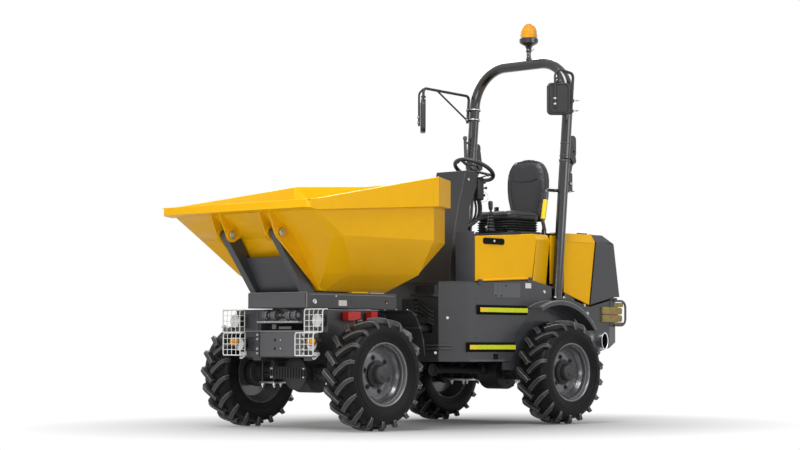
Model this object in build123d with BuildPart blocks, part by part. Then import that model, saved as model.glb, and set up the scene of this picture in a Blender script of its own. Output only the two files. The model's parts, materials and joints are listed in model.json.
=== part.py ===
"""Three-tonne site dumper with a swivel skip.

Millimetres. +Z is up, the machine faces -Y, +X is its left-hand side.
The origin is on the ground, in the middle of the machine's length and width.
"""
from build123d import *
from math import atan2, cos, radians, sin, sqrt
import os

os.makedirs("parts", exist_ok=True)

# ---- wheels and axles
tyre_radius = 390.0
tyre_width = 265.0
rim_radius = 215.0
rim_depth = 105.0
rim_play = 0.05
track = 1252.0
wheelbase = 2013.0
front_axle_y = -1181.0
rear_axle_y = front_axle_y + wheelbase
axle_radius = 62.0
hub_radius = 92.0
wheel_gap = 0.3

# ---- pivots
artic_y = -425.0
slew_y = front_axle_y
tip_y = -1750.0
tip_z = 1355.0
pin_radius = 20.0
pin_play = 0.05
eye_radius = 38.0
running_gap = 0.5

# ---- front chassis
front_deck_z = 760.0
front_half = 300.0
front_nose_y = -1455.0
front_tail_y = -625.0
frame_low_z = 480.0
neck_half = 90.0
head_half = 376.0
head_low_z = 503.0
head_high_z = 685.0
plate = 10.0
lamp_arm_in = 240.0
lamp_arm_out = 466.0
lamp_arm_top = 838.0
bolt_x = -30.0
bolt_pitch = 60.0
bolt_hole = 7.0

# ---- slew ring and turret
ring_radius = 270.0
ring_bore = 200.0
ring_low = 66.0
ring_gap = 0.4
turret_z = 845.0
turret_half = 300.0
turret_front_y = -1505.0
turret_rear_y = -615.0
rail_top_z = 955.0
rail_width = 50.0
arm_x = 250.0
arm_thick = 60.0

# ---- skip
skip_plate = 8.0
rim_out = 30.0
ear_thick = 15.0
ear_gap = 12.0
ram_y = -1405.0
ram_z = 905.0
ram_eye_y = -955.0
ram_radius = 42.0

# ---- rear chassis and operator's place
body_half = 500.0
body_front_y = -225.0
body_chamfer = 150.0
body_chamfer_y = 160.0
body_rear_y = 345.0
deck_z = 1050.0
sill = 8.0
rail_x = 300.0
rail_half = 40.0
rail_low_z = 480.0
rail_high_z = 640.0
arch_radius = 470.0
tail_y = 1640.0
tail_rear_y = 1760.0
door_front_y = 15.0
door_rear_y = 652.0
door_low_z = 1062.0
door_rise = 31.0
door_high_z = 1393.0
door_thick = 12.0
door_hinge_x = body_half + 9
door_hinge_z = 1066.0
shelf_rear_y = 905.0
shelf_rear_z = 1036.0
hood_front_y = 1050.0
hood_low_z = 998.0
hood_high_z = 1460.0
hood_half = body_half - 20
cover_hinge_y = 1780.0
cover_hinge_z = 985.0
cover_pin = 8.0

# ---- steering ram, as (x, y) of its pins
steer_base = (230.0, -100.0)
steer_eye = (170.0, -545.0)
steer_z = 715.0
steer_fork = 33.0
steer_pin = 14.0
steer_radius = 30.0
steer_rod_radius = 15.0
steer_barrel_long = 270.0
steer_rod_start = 160.0

# ---- tail plates and exhaust
tail_side_x = 465.0
exhaust_y = 1515.0
exhaust_z = 626.0

# ---- towing clevis at the tail
tow_y = 1895.0
tow_z = 520.0
tow_gap = 60.0
tow_plate = 20.0
tow_bore = 16.0

# ---- roll bar
rops_x = body_half - 15
rops_y = 961.0
rops_tube = 40.0
rops_wall = 5.0
rops_foot_z = 938.0
rops_fold_z = 2030.0
rops_top_z = 2805.0
rops_lean = 5.3
rops_bend = 300.0


# ------------------------------------------------------------------ wheels
wheels = {
    "front_left": (1, front_axle_y),
    "front_right": (-1, front_axle_y),
    "rear_left": (1, rear_axle_y),
    "rear_right": (-1, rear_axle_y),
}
tyre_base = 364.0
tyre_sides = 24
tyre_rows = (  # across, radius
    (-tyre_width / 2 + 20, 236.0),
    (-tyre_width / 2, 300.0),
    (-tyre_width / 2 + 9, 344.0),
    (-tyre_width / 2 + 32, tyre_base),
    (tyre_width / 2 - 32, tyre_base),
    (tyre_width / 2 - 9, 344.0),
    (tyre_width / 2, 300.0),
    (tyre_width / 2 - 20, 236.0),
)
lug_count = 16
lug_half = 12.0
lug_lean = 37.5
lug_mid = 65.0
lug_end = (2 * lug_mid * sin(radians(lug_lean)) + 2 * lug_half * cos(radians(lug_lean))) / 2
lug_top = sqrt(tyre_radius**2 - lug_end**2)
lug_side = [  # along, radius
    (0, 350),
    (0, lug_top),
    (2 * lug_mid, lug_top),
    (2 * lug_mid + 26, lug_top - 40),
    (2 * lug_mid - 6, lug_top - 54),
]
hub_face = 20.0
hub_cap_radius = 62.0
hub_cap_out = 88.0
with BuildPart() as tyre:
    for low, high in zip(tyre_rows, tyre_rows[1:]):
        with BuildSketch(Plane.YZ.offset(low[0])):
            RegularPolygon(low[1], tyre_sides, major_radius=False)
        with BuildSketch(Plane.YZ.offset(high[0])):
            RegularPolygon(high[1], tyre_sides, major_radius=False)
        loft(ruled=True)
    for half in (-1, 1):
        for lug in range(lug_count):
            turn = radians((lug + (half + 1) / 4) * 360 / lug_count - 90) - atan2(lug_end, lug_top)
            out = Vector(0, -cos(turn), sin(turn))
            ahead = Vector(0, sin(turn), cos(turn))
            run = Vector(half * cos(radians(lug_lean)), 0, 0) + ahead * sin(radians(lug_lean))
            foot = Vector(half * lug_mid * cos(radians(lug_lean)), 0, 0)
            with BuildSketch(Plane(foot, x_dir=run, z_dir=run.cross(out))):
                Polygon(*[(along - lug_mid, radius) for along, radius in lug_side], align=None)
            extrude(amount=lug_half, both=True)
    with BuildSketch(Plane.YZ):
        RegularPolygon(rim_radius + rim_play, tyre_sides, major_radius=False)
    extrude(amount=tyre_width, both=True, mode=Mode.SUBTRACT)

for place, (side, axle_y) in wheels.items():
    wheel_plane = Plane((side * track / 2, axle_y, tyre_radius), x_dir=(0, 1, 0), z_dir=(side, 0, 0))
    tyre_part = Pos(side * track / 2, axle_y, tyre_radius) * tyre.part
    tyre_part.label = f"tyre_{place}"
    export_step(tyre_part, f"parts/tyre_{place}.step")

    with BuildPart() as rim:
        with BuildSketch(Plane.XZ):
            with BuildLine():
                Polyline(
                    (-rim_depth, rim_radius),
                    (-rim_depth, rim_radius - 8),
                    (-rim_depth + 30, rim_radius - 28),
                    (hub_face - 12, rim_radius - 34),
                    (hub_face - 12, hub_radius - 30),
                    (hub_face, hub_radius - 30),
                    (hub_face, rim_radius - 34),
                    (rim_depth - 30, rim_radius - 28),
                    (rim_depth, rim_radius - 8),
                    (rim_depth, rim_radius),
                    close=True,
                )
            make_face()
        revolve(axis=Axis.X)
        with BuildSketch(Plane.YZ.offset(hub_face)):
            Circle(hub_radius)
        extrude(amount=25)
        with BuildSketch(Plane.YZ.offset(hub_face)):
            Circle(hub_cap_radius)
        extrude(amount=hub_cap_out)
    rim_part = wheel_plane.location * Rotation(0, -90, 0) * rim.part
    rim_part.label = f"rim_{place}"
    export_step(rim_part, f"parts/rim_{place}.step")

# ------------------------------------------------------------------- axles
axle_half = track / 2 + hub_face - 12 - wheel_gap
axle_pad_x = rail_x
for name, axle_y in (("front_axle", front_axle_y), ("rear_axle", rear_axle_y)):
    with BuildPart() as axle:
        with BuildSketch(Plane.YZ.offset(-axle_half)):
            with Locations((axle_y, tyre_radius)):
                Circle(axle_radius)
        extrude(amount=2 * axle_half)
        with BuildSketch(Plane.YZ.offset(-95)):
            with Locations((axle_y, tyre_radius)):
                Circle(axle_radius + 75)
        extrude(amount=190)
        for pad_side in (-1, 1):
            with BuildSketch(Plane.XY.offset(tyre_radius)):
                with Locations((pad_side * axle_pad_x, axle_y)):
                    Rectangle(70, 150)
            extrude(amount=frame_low_z - tyre_radius)
            with BuildSketch(Plane.YZ.offset(pad_side * (axle_half - 30))):
                with Locations((axle_y, tyre_radius)):
                    Circle(hub_radius)
            extrude(amount=pad_side * 30)
    axle.part.label = name
    export_step(axle.part, f"parts/{name}.step")

# ----------------------------------------------------------- front chassis
deck_plate = 20.0
ring_hole = ring_bore
beam_width = 80.0
hinge_plate = 25.0
hinge_low_z = 520.0
hinge_high_z = 690.0
with BuildPart() as front_frame:
    for beam_side in (-1, 1):
        with BuildSketch(Plane.XY.offset(frame_low_z)):
            with Locations((beam_side * (front_half - beam_width / 2), (front_nose_y + front_tail_y) / 2)):
                Rectangle(beam_width, front_tail_y - front_nose_y)
        extrude(amount=front_deck_z - deck_plate - frame_low_z)
    with BuildSketch(Plane.XY.offset(front_deck_z - deck_plate)):
        with Locations((0, (front_nose_y + front_tail_y) / 2)):
            Rectangle(2 * front_half, front_tail_y - front_nose_y)
        with Locations((0, slew_y)):
            Circle(ring_hole, mode=Mode.SUBTRACT)
    extrude(amount=deck_plate)
    with BuildSketch(Plane.XZ.offset(-front_nose_y)):
        with Locations((0, (head_low_z + head_high_z) / 2)):
            Rectangle(2 * head_half, head_high_z - head_low_z)
    extrude(amount=plate)
    with BuildSketch(Plane.XY.offset(frame_low_z)):
        with Locations((0, front_tail_y - 20)):
            Rectangle(2 * front_half, 40)
    extrude(amount=front_deck_z - frame_low_z)
    with BuildSketch(Plane.XY.offset(hinge_low_z + hinge_plate + 5)):
        with Locations((0, (front_tail_y + artic_y) / 2 - 10)):
            Rectangle(2 * neck_half, artic_y - front_tail_y + 20)
        with Locations((0, artic_y)):
            Circle(neck_half)
    extrude(amount=hinge_high_z - hinge_low_z - hinge_plate - 10)
    with BuildSketch(Plane.XY.offset(hinge_low_z)):
        with Locations((0, artic_y)):
            Circle(30 + running_gap)
    extrude(amount=hinge_high_z - hinge_low_z + hinge_plate, mode=Mode.SUBTRACT)
    for level in (steer_z - 14 - 4 - 12, steer_z + 14 + 4):
        with BuildSketch(Plane.XY.offset(level)):
            with Locations((steer_eye[0], (steer_eye[1] + front_tail_y) / 2)):
                Rectangle(70, steer_eye[1] - front_tail_y + 10)
            with Locations(steer_eye):
                Circle(35)
        extrude(amount=12)
    for bracket_side in (-1, 1):
        with BuildSketch(Plane.XZ.offset(-front_nose_y)):
            with Locations((bracket_side * (lamp_arm_in + lamp_arm_out) / 2, (head_high_z + lamp_arm_top) / 2 - 5)):
                Rectangle(lamp_arm_out - lamp_arm_in, lamp_arm_top - head_high_z + 10)
        extrude(amount=plate)
    with BuildSketch(Plane.XZ.offset(-front_nose_y - 1)):
        with Locations((bolt_x, (head_low_z + head_high_z) / 2)):
            with GridLocations(bolt_pitch, bolt_pitch, 2, 2):
                Circle(bolt_hole)
    extrude(amount=plate + 2, mode=Mode.SUBTRACT)
front_frame.part.label = "front_frame"
export_step(front_frame.part, "parts/front_frame.step")

with BuildPart() as slew_base:
    with BuildSketch(Plane.XY.offset(front_deck_z)):
        with Locations((0, slew_y)):
            Circle(ring_radius)
            Circle(ring_bore, mode=Mode.SUBTRACT)
    extrude(amount=ring_low)
slew_base.part.label = "slew_base_ring"
export_step(slew_base.part, "parts/slew_base_ring.step")

motor_radius = 32.0
motor_y = -1486.0
motor_z = 792.0
with BuildPart() as slew_drive:
    for motor_side in (-1, 1):
        with BuildSketch(Plane.YZ.offset(motor_side * 60)):
            with Locations((motor_y, motor_z)):
                Circle(motor_radius)
        extrude(amount=motor_side * 130)
    with BuildSketch(Plane.YZ.offset(-60)):
        with Locations((motor_y, motor_z)):
            Circle(motor_radius - 8)
    extrude(amount=120)
    with BuildSketch(Plane.XY.offset(front_deck_z - deck_plate + 2)):
        with Locations((0, (motor_y + front_nose_y) / 2 - 6.3)):
            Rectangle(300, front_nose_y - motor_y + 12)
    extrude(amount=32)
slew_drive.part.label = "slew_drive"
export_step(slew_drive.part, "parts/slew_drive.step")

guard_size = 163.0
guard_bar = 8.0
guard_rows = (
    # name part, centre across, face along, centre height
    ("upper", 385.0, -1560.0, 756.0),
    ("lower", 335.0, -1600.0, 592.0),
)
for level, guard_x, guard_y, guard_z in guard_rows:
    with BuildPart() as guards:
        for guard_side in (-1, 1):
            with BuildSketch(Plane.XZ.offset(-guard_y)):
                with Locations((guard_side * guard_x, guard_z)):
                    Rectangle(guard_size, guard_size)
                    Rectangle(guard_size - 2 * guard_bar, guard_size - 2 * guard_bar, mode=Mode.SUBTRACT)
                    with GridLocations(guard_size / 4, 0, 3, 1):
                        Rectangle(guard_bar, guard_size)
                    with GridLocations(0, guard_size / 4, 1, 3):
                        Rectangle(guard_size, guard_bar)
            extrude(amount=-guard_bar)
            with BuildSketch(Plane.XZ.offset(-guard_y)):
                with Locations((guard_side * guard_x, guard_z)):
                    Rectangle(guard_size, guard_size)
                    Rectangle(guard_size - 2 * guard_bar, guard_size - 2 * guard_bar, mode=Mode.SUBTRACT)
            extrude(amount=-(front_nose_y - guard_y - plate))
    guards.part.label = f"{level}_lamp_guards"
    export_step(guards.part, f"parts/{level}_lamp_guards.step")

lamp_radius = 48.0
with BuildPart() as head_lamps:
    for level, guard_x, guard_y, guard_z in guard_rows:
        for lamp_side in (-1, 1):
            with BuildSketch(Plane.XZ.offset(-front_nose_y + plate)):
                with Locations((lamp_side * guard_x, guard_z)):
                    Circle(lamp_radius)
            extrude(amount=60)
head_lamps.part.label = "head_lamps"
export_step(head_lamps.part, "parts/head_lamps.step")

flap_thick = 6.0
flap_in_x = front_half
flap_out_x = 600.0
flap_rows = (
    # length position and height of the curved flap's front face, and thickness along and up
    (-800.0, 832.0, 0.0, 6.0),
    (-745.0, 811.0, 4.0, 5.0),
    (-692.0, 724.0, 6.0, 3.0),
    (-650.0, 617.0, 6.0, 1.0),
    (-640.0, 514.0, 6.0, 0.0),
)
with BuildPart() as flaps:
    for flap_side in (-1, 1):
        with BuildSketch(Plane.YZ.offset(flap_side * (flap_in_x + 0.2))):
            Polygon(
                *[(y, z) for y, z, along, up in flap_rows],
                *[(y + along, z + up) for y, z, along, up in reversed(flap_rows)],
                align=None,
            )
        extrude(amount=flap_side * (flap_out_x - flap_in_x))
        with BuildSketch(Plane.YZ.offset(flap_side * (flap_in_x + 0.2))):
            Polygon((-760, 640), (-760, 740), (-695, 720), (-660, 640), align=None)
        extrude(amount=flap_side * flap_thick)
flaps.part.label = "front_mud_flaps"
export_step(flaps.part, "parts/front_mud_flaps.step")

# ------------------------------------------------------------------ turret
base_plate = 12.0
slot_half = 75.0
with BuildPart() as turret_frame:
    with BuildSketch(Plane.XY.offset(turret_z)):
        with Locations((0, (turret_front_y + turret_rear_y) / 2)):
            Rectangle(2 * turret_half, turret_rear_y - turret_front_y)
        with Locations((0, (ram_y + ram_eye_y) / 2)):
            Rectangle(2 * slot_half, ram_eye_y - ram_y + 140, mode=Mode.SUBTRACT)
    extrude(amount=base_plate)
    with BuildSketch(Plane.XY.offset(turret_z)):
        with Locations((0, (turret_front_y + turret_rear_y) / 2)):
            Rectangle(2 * turret_half, turret_rear_y - turret_front_y)
            Rectangle(
                2 * (turret_half - rail_width),
                turret_rear_y - turret_front_y - 2 * rail_width,
                mode=Mode.SUBTRACT,
            )
    extrude(amount=rail_top_z - turret_z)
    for arm_side in (-1, 1):
        with BuildSketch(Plane.YZ.offset(arm_side * arm_x - arm_thick / 2)):
            Polygon(*[
                    (tip_y - 30, tip_z - 20),
                    (turret_front_y + 10, rail_top_z - 10),
                    (-1402, rail_top_z - 10),
                    (-1492, 1090),
                    (-1650, 1330),
                    (tip_y + 20, tip_z + 5),
                ], align=None)
            with Locations((tip_y, tip_z)):
                Circle(eye_radius)
                Circle(pin_radius + pin_play, mode=Mode.SUBTRACT)
        extrude(amount=arm_thick)
    for ear_side in (-1, 1):
        with BuildSketch(Plane.YZ.offset(ear_side * (ram_radius + 5))):
            Polygon(*([(-1465, turret_z), (ram_y + 25, turret_z), (ram_y + 25, ram_z + 20), (-1465, ram_z + 20)]), align=None)
        extrude(amount=ear_side * 20)
turret_frame.part.label = "turret_frame"
export_step(turret_frame.part, "parts/turret_frame.step")

with BuildPart() as slew_top:
    with BuildSketch(Plane.XY.offset(front_deck_z + ring_low + ring_gap)):
        with Locations((0, slew_y)):
            Circle(ring_radius)
            Circle(ring_bore, mode=Mode.SUBTRACT)
    extrude(amount=turret_z - front_deck_z - ring_low - ring_gap)
slew_top.part.label = "slew_top_ring"
export_step(slew_top.part, "parts/slew_top_ring.step")

with BuildPart() as turret_cover:
    with BuildSketch(Plane.YZ.offset(-arm_x + arm_thick / 2 + 0.2)):
        Polygon(*[(-1462, 957), (-1450, 957), (-1592, 1200), (-1604, 1200)], align=None)
    extrude(amount=2 * arm_x - arm_thick - 0.4)
turret_cover.part.label = "turret_cover"
export_step(turret_cover.part, "parts/turret_cover.step")

# --------------------------------------------------------------- tip ram
stage_rows = (
    # name, radius, start from base pin, end from base pin
    ("tip_ram_barrel", ram_radius, 0.0, 400.0),
    ("tip_ram_stage", ram_radius - 12.0, 45.0, 415.0),
    ("tip_ram_rod", ram_radius - 24.0, 55.0, ram_eye_y - ram_y),
)
ram_wall = 9.0
for row, (name, radius, start, end) in enumerate(stage_rows):
    with BuildPart() as stage:
        with BuildSketch(Plane.XZ.offset(-ram_y - start)):
            with Locations((0, ram_z)):
                Circle(radius)
        extrude(amount=-(end - start))
        if row < 2:
            next_start = stage_rows[row + 1][2]
            next_radius = stage_rows[row + 1][1]
            with BuildSketch(Plane.XZ.offset(-ram_y - next_start + 3)):
                with Locations((0, ram_z)):
                    Circle(next_radius + running_gap)
            extrude(amount=-(end - next_start + 10), mode=Mode.SUBTRACT)
        if row == 0:
            with BuildSketch(Plane.YZ.offset(-ram_radius - 4.7)):
                with Locations((ram_y, ram_z)):
                    Circle(ram_radius - 8)
            extrude(amount=2 * (ram_radius + 4.7))
        if row == 2:
            with BuildSketch(Plane.YZ.offset(-25)):
                with Locations((ram_eye_y, ram_z)):
                    Circle(28)
            extrude(amount=50)
    stage.part.label = name
    export_step(stage.part, f"parts/{name}.step")

# -------------------------------------------------------------------- skip
skip_rows = (
    # height, front half width, front y, side half width, side front y, side rear y, back half width, back y
    (962.0, 280.0, -1379.0, 300.0, -1355.0, -735.0, 270.0, -705.0),
    (1090.0, 440.0, -1475.0, 500.0, -1275.0, -595.0, 400.0, -505.0),
    (1326.0, 660.0, -1622.0, 720.0, -1565.0, -675.0, 420.0, -235.0),
    (1500.0, 700.0, -1855.0, 720.0, -1835.0, -675.0, 420.0, -235.0),
    (1800.0, 700.0, -1855.0, 720.0, -1835.0, -675.0, 420.0, -235.0),
)


def skip_section(row, inset):
    """Eight-cornered level section of the hopper, moved in by inset."""
    height, front_half_x, front_y, side_x, side_front_y, side_rear_y, back_x, back_y = row
    corners = [
        (front_half_x - inset, front_y + inset),
        (side_x - inset, side_front_y + inset),
        (side_x - inset, side_rear_y - inset / 2),
        (back_x - inset / 2, back_y - inset),
    ]
    return corners + [(-x, y) for x, y in reversed(corners)]


band_rows = (
    # y, underside height, top height
    (-1925.0, 1500.0, 1555.0),
    (-1835.0, 1488.0, 1562.0),
    (-655.0, 1565.0, 1775.0),
    (-205.0, 1585.0, 1785.0),
)
with BuildPart() as skip_shell:
    for low, high in zip(skip_rows, skip_rows[1:]):
        for row in (low, high):
            with BuildSketch(Plane.XY.offset(row[0])):
                Polygon(*skip_section(row, 0), align=None)
        loft(ruled=True)
    with BuildSketch(Plane.XY.offset(1400)):
        with BuildLine():
            Polyline(
                (700 + rim_out, -1925),
                (720 + rim_out, -1905),
                (720 + rim_out, -655),
                (450, -205),
                (-450, -205),
                (-720 - rim_out, -655),
                (-720 - rim_out, -1905),
                (-700 - rim_out, -1925),
                close=True,
            )
        make_face()
    band = extrude(amount=400, mode=Mode.PRIVATE)
    with BuildSketch(Plane.YZ.offset(-800)):
        Polygon(*([(y, low) for y, low, high in band_rows] + [(y, high) for y, low, high in reversed(band_rows)]), align=None)
    band_side = extrude(amount=1600, mode=Mode.PRIVATE)
    add(band & band_side)
    for ear_side in (-1, 1):
        for ear_x, ear_points in (
            (300.0, [(-1875, 1500), (-1800, 1338), (-1760, 1300), (-1385, 966), (-1330, 966), (-1330, 1100), (-1560, 1400), (-1700, 1500)]),
            (200.0, [(-1875, 1500), (-1800, 1338), (-1750, 1305), (-1700, 1320), (-1640, 1370), (-1640, 1500)]),
        ):
            with BuildSketch(Plane.YZ.offset(ear_side * ear_x - ear_thick / 2)):
                Polygon(*ear_points, align=None)
            extrude(amount=ear_thick)
    with BuildSketch(Plane.YZ.offset(-800)):
        Polygon(*([(y, high) for y, low, high in band_rows] + [(-205, 1900), (-1925, 1900)]), align=None)
    extrude(amount=1600, mode=Mode.SUBTRACT)
    for low, high in zip(skip_rows, skip_rows[1:]):
        for row in (low, high):
            lift = skip_plate if row is skip_rows[0] else 0
            with BuildSketch(Plane.XY.offset(row[0] + lift)):
                Polygon(*skip_section(row, skip_plate), align=None)
        loft(ruled=True, mode=Mode.SUBTRACT)
    with BuildSketch(Plane.YZ.offset(-400)):
        with Locations((tip_y, tip_z)):
            Circle(pin_radius + pin_play)
    extrude(amount=800, mode=Mode.SUBTRACT)
    for ear_side in (-1, 1):
        with BuildSketch(Plane.YZ.offset(ear_side * 35)):
            Polygon(*[(-1010, 966), (-900, 966), (-925, 875), (-985, 875)], align=None)
        extrude(amount=ear_side * 15)
skip_shell.part.label = "skip"
export_step(skip_shell.part, "parts/skip.step")

with BuildPart() as tip_pins:
    for pin_side in (-1, 1):
        with BuildSketch(Plane.YZ.offset(pin_side * 190)):
            with Locations((tip_y, tip_z)):
                Circle(pin_radius)
        extrude(amount=pin_side * 120)
        with BuildSketch(Plane.YZ.offset(pin_side * 308)):
            with Locations((tip_y, tip_z)):
                Circle(pin_radius + 10)
        extrude(amount=pin_side * 12)
tip_pins.part.label = "tip_pins"
export_step(tip_pins.part, "parts/tip_pins.step")

# ------------------------------------------------------------ rear chassis
body_wall = 8.0
body_plan = [
    (body_half - body_chamfer, body_front_y),
    (body_half, body_front_y + body_chamfer_y),
    (body_half, body_rear_y),
    (-body_half, body_rear_y),
    (-body_half, body_front_y + body_chamfer_y),
    (-body_half + body_chamfer, body_front_y),
]
body_low_z = 470.0
step_rows = (
    # height of the tread's underside, front y, rear y
    (555.0, -80.0, 440.0),
    (830.0, 35.0, 580.0),
)
step_high = 45.0
step_out = 25.0
door_slope = atan2(door_rise, door_rear_y - door_front_y)
hinge_line = Plane(
    (0, door_front_y, door_hinge_z),
    x_dir=(-1, 0, 0),
    z_dir=(0, cos(door_slope), sin(door_slope)),
)
hinge_long = (door_rear_y - door_front_y) / cos(door_slope)
knuckle = 8.0
hinge_pin = 4.0
cross_low_z = 840.0
tail_low_z = 480.0
side_panel = [
    # outline of the side plates, as (y, z), from the box round the wheel arch
    (body_rear_y, body_low_z),
    (rear_axle_y - 412, body_low_z),
    (rear_axle_y - 407, body_low_z + 90),
    (rear_axle_y - 370, tyre_radius + 290),
    (rear_axle_y - 232, tyre_radius + 409),
    (rear_axle_y - 80, tyre_radius + 463),
    (rear_axle_y + 120, tyre_radius + 455),
    (rear_axle_y + 300, tyre_radius + 362),
    (rear_axle_y + 330, tyre_radius + 335),
    (rear_axle_y + 330, hood_low_z - 50),
    (rops_y + 100, hood_low_z - 12),
    (rops_y + 75, hood_low_z - 12),
    (rops_y + 75, rops_foot_z - 3),
    (shelf_rear_y - 20, rops_foot_z - 3),
    (shelf_rear_y - 20, shelf_rear_z + 3),
    (door_rear_y - 4, door_low_z + door_rise - 10),
    (door_front_y, door_low_z - 10),
    (body_rear_y, door_low_z - 10),
]
tail_panel = [
    # outline of the tail's side plates, as (y, z)
    (rear_axle_y + 268, tyre_radius + 398),
    (rear_axle_y + 368, tyre_radius + 308),
    (rear_axle_y + 458, tyre_radius + 144),
    (rear_axle_y + 470, tail_low_z + 15),
    (tail_y, tail_low_z + 92),
    (tail_y, 946),
    (1395, 893),
    (1160, 948),
    (rear_axle_y + 268, 948),
]


def shelf_top(y):
    """Height of the sloping shelf behind the doors at a length position."""
    start_y = door_rear_y - 4
    start_z = door_low_z + door_rise - 10
    return start_z + (y - start_y) * (shelf_rear_z - start_z) / (shelf_rear_y - start_y)


with BuildPart() as rear_frame:
    with BuildSketch(Plane.XY.offset(body_low_z)):
        Polygon(*body_plan, align=None)
        offset(amount=-body_wall, kind=Kind.INTERSECTION, mode=Mode.SUBTRACT)
    extrude(amount=deck_z - body_low_z)
    with BuildSketch(Plane.XY.offset(body_low_z)):
        Polygon(*body_plan, align=None)
    extrude(amount=body_wall)
    for side in (-1, 1):
        with BuildSketch(Plane.YZ.offset(side * body_half)):
            Polygon(*side_panel, align=None)
        extrude(amount=-side * body_wall)
        with BuildSketch(Plane.YZ.offset(side * body_half)):
            Polygon(
                (door_front_y, deck_z - 20),
                (body_rear_y + 20, deck_z - 20),
                (body_rear_y + 20, door_low_z + 6),
                (door_front_y, door_low_z - 10),
                align=None,
            )
        extrude(amount=-side * body_wall)
        with BuildSketch(Plane.YZ.offset(side * body_half)):
            Polygon(
                (door_rear_y - 4, door_low_z + door_rise - 10),
                (shelf_rear_y, shelf_rear_z),
                (shelf_rear_y, shelf_rear_z - body_wall),
                (door_rear_y - 4, door_low_z + door_rise - 18),
                align=None,
            )
        extrude(amount=-side * 170)
        with BuildSketch(Plane.YZ.offset(side * tail_side_x)):
            Polygon(*tail_panel, align=None)
        extrude(amount=-side * plate)
        with BuildSketch(Plane.XY.offset(rail_low_z)):
            with Locations((side * rail_x, (body_rear_y + tail_y) / 2)):
                Rectangle(2 * rail_half, tail_y - body_rear_y + 20)
        extrude(amount=rail_high_z - rail_low_z)
        with BuildSketch(Plane.XY.offset(rail_high_z)):
            with Locations((side * rail_x, rops_y)):
                Rectangle(60, 120)
        extrude(amount=cross_low_z + 5 - rail_high_z)
        with BuildSketch(Plane.XY.offset(cross_low_z)):
            with Locations((side * (tail_side_x - 20), rops_y + 160)):
                Rectangle(40, 220)
        extrude(amount=plate)
        for start, end in ((20, 59), (hinge_long - 59, hinge_long - 20)):
            with BuildSketch(hinge_line.offset(start)):
                with Locations((-side * door_hinge_x, 0)):
                    Circle(knuckle)
                with Locations((-side * (body_half + 4.5), -18)):
                    Rectangle(9, 24)
                with Locations((-side * (body_half + 5.5), -4)):
                    Rectangle(7, 8)
            extrude(amount=end - start)
        with BuildSketch(hinge_line.offset(40)):
            with Locations((-side * door_hinge_x, 0)):
                Circle(hinge_pin)
        extrude(amount=hinge_long - 80)
        with BuildSketch(Plane.YZ.offset(side * 200)):
            with Locations((cover_hinge_y, cover_hinge_z)):
                Circle(15)
            Polygon(
                (tail_rear_y - 24, 930),
                (tail_rear_y, 930),
                (cover_hinge_y + 15, cover_hinge_z),
                (cover_hinge_y - 12, cover_hinge_z),
                align=None,
            )
        extrude(amount=side * 15)
        with BuildSketch(Plane.YZ.offset(side * 200)):
            with Locations((cover_hinge_y, cover_hinge_z)):
                Circle(cover_pin)
        extrude(amount=side * 35)
    with BuildSketch(Plane.XY.offset(cross_low_z)):
        with Locations((0, rops_y)):
            Rectangle(2 * body_half, 150)
    extrude(amount=rops_foot_z - cross_low_z)
    with BuildSketch(Plane.XY.offset(tail_low_z)):
        Polygon(
            (-tail_side_x, tail_y),
            (tail_side_x, tail_y),
            (tail_side_x - 35, tail_rear_y),
            (-tail_side_x + 35, tail_rear_y),
            align=None,
        )
    extrude(amount=465)
    with BuildSketch(Plane.YZ.offset(-body_half)):
        Polygon((tail_y, 400), (tail_y, tail_low_z + 92), (tail_rear_y, 615), (tail_rear_y, 400), align=None)
    extrude(amount=1000, mode=Mode.SUBTRACT)
    for beam_side in (-1, 1):
        with BuildSketch(Plane.XY.offset(rail_low_z)):
            with Locations((beam_side * rail_x, tail_y - 50)):
                Rectangle(2 * rail_half, 110)
        extrude(amount=rail_high_z - rail_low_z)
    for level in (hinge_low_z, hinge_high_z):
        with BuildSketch(Plane.XY.offset(level)):
            with Locations((0, (artic_y + body_front_y) / 2)):
                Rectangle(2 * neck_half, body_front_y - artic_y + 10)
            with Locations((0, artic_y)):
                Circle(neck_half)
        extrude(amount=hinge_plate)
    with BuildSketch(Plane.XY.offset(hinge_low_z)):
        with Locations((0, artic_y)):
            Circle(30)
    extrude(amount=hinge_high_z + hinge_plate - hinge_low_z)
    with BuildSketch(Plane.XY.offset(steer_z - steer_fork - 12)):
        with Locations((steer_base[0], (steer_base[1] + 35 + body_front_y) / 2)):
            Rectangle(100, steer_base[1] + 35 - body_front_y - body_wall + 4)
    extrude(amount=2 * (steer_fork + 12))
    with BuildSketch(Plane.XY.offset(steer_z - steer_fork)):
        with Locations((steer_base[0] - 10, (steer_base[1] + 40 + body_front_y) / 2)):
            Rectangle(130, steer_base[1] + 45 - body_front_y + 40)
    extrude(amount=2 * steer_fork, mode=Mode.SUBTRACT)
    with BuildSketch(Plane.XY.offset(steer_z - steer_fork - 12)):
        with Locations(steer_base):
            Circle(steer_pin)
    extrude(amount=2 * (steer_fork + 12))
    with BuildSketch(Plane.XY.offset(tow_z)):
        Polygon((-60, tail_y - 10), (60, tail_y - 10), (60, tail_rear_y + 20), (-60, tail_rear_y + 20), align=None)
    extrude(amount=2 * tow_plate + tow_gap)
    for level in (tow_z, tow_z + tow_gap + tow_plate):
        with BuildSketch(Plane.XY.offset(level)):
            with Locations((0, (tow_y + tail_rear_y) / 2)):
                Rectangle(110, tow_y - tail_rear_y + 60)
            with Locations((0, tow_y)):
                Circle(tow_bore, mode=Mode.SUBTRACT)
        extrude(amount=tow_plate)
rear_frame.part.label = "rear_frame"
export_step(rear_frame.part, "parts/rear_frame.step")

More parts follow.
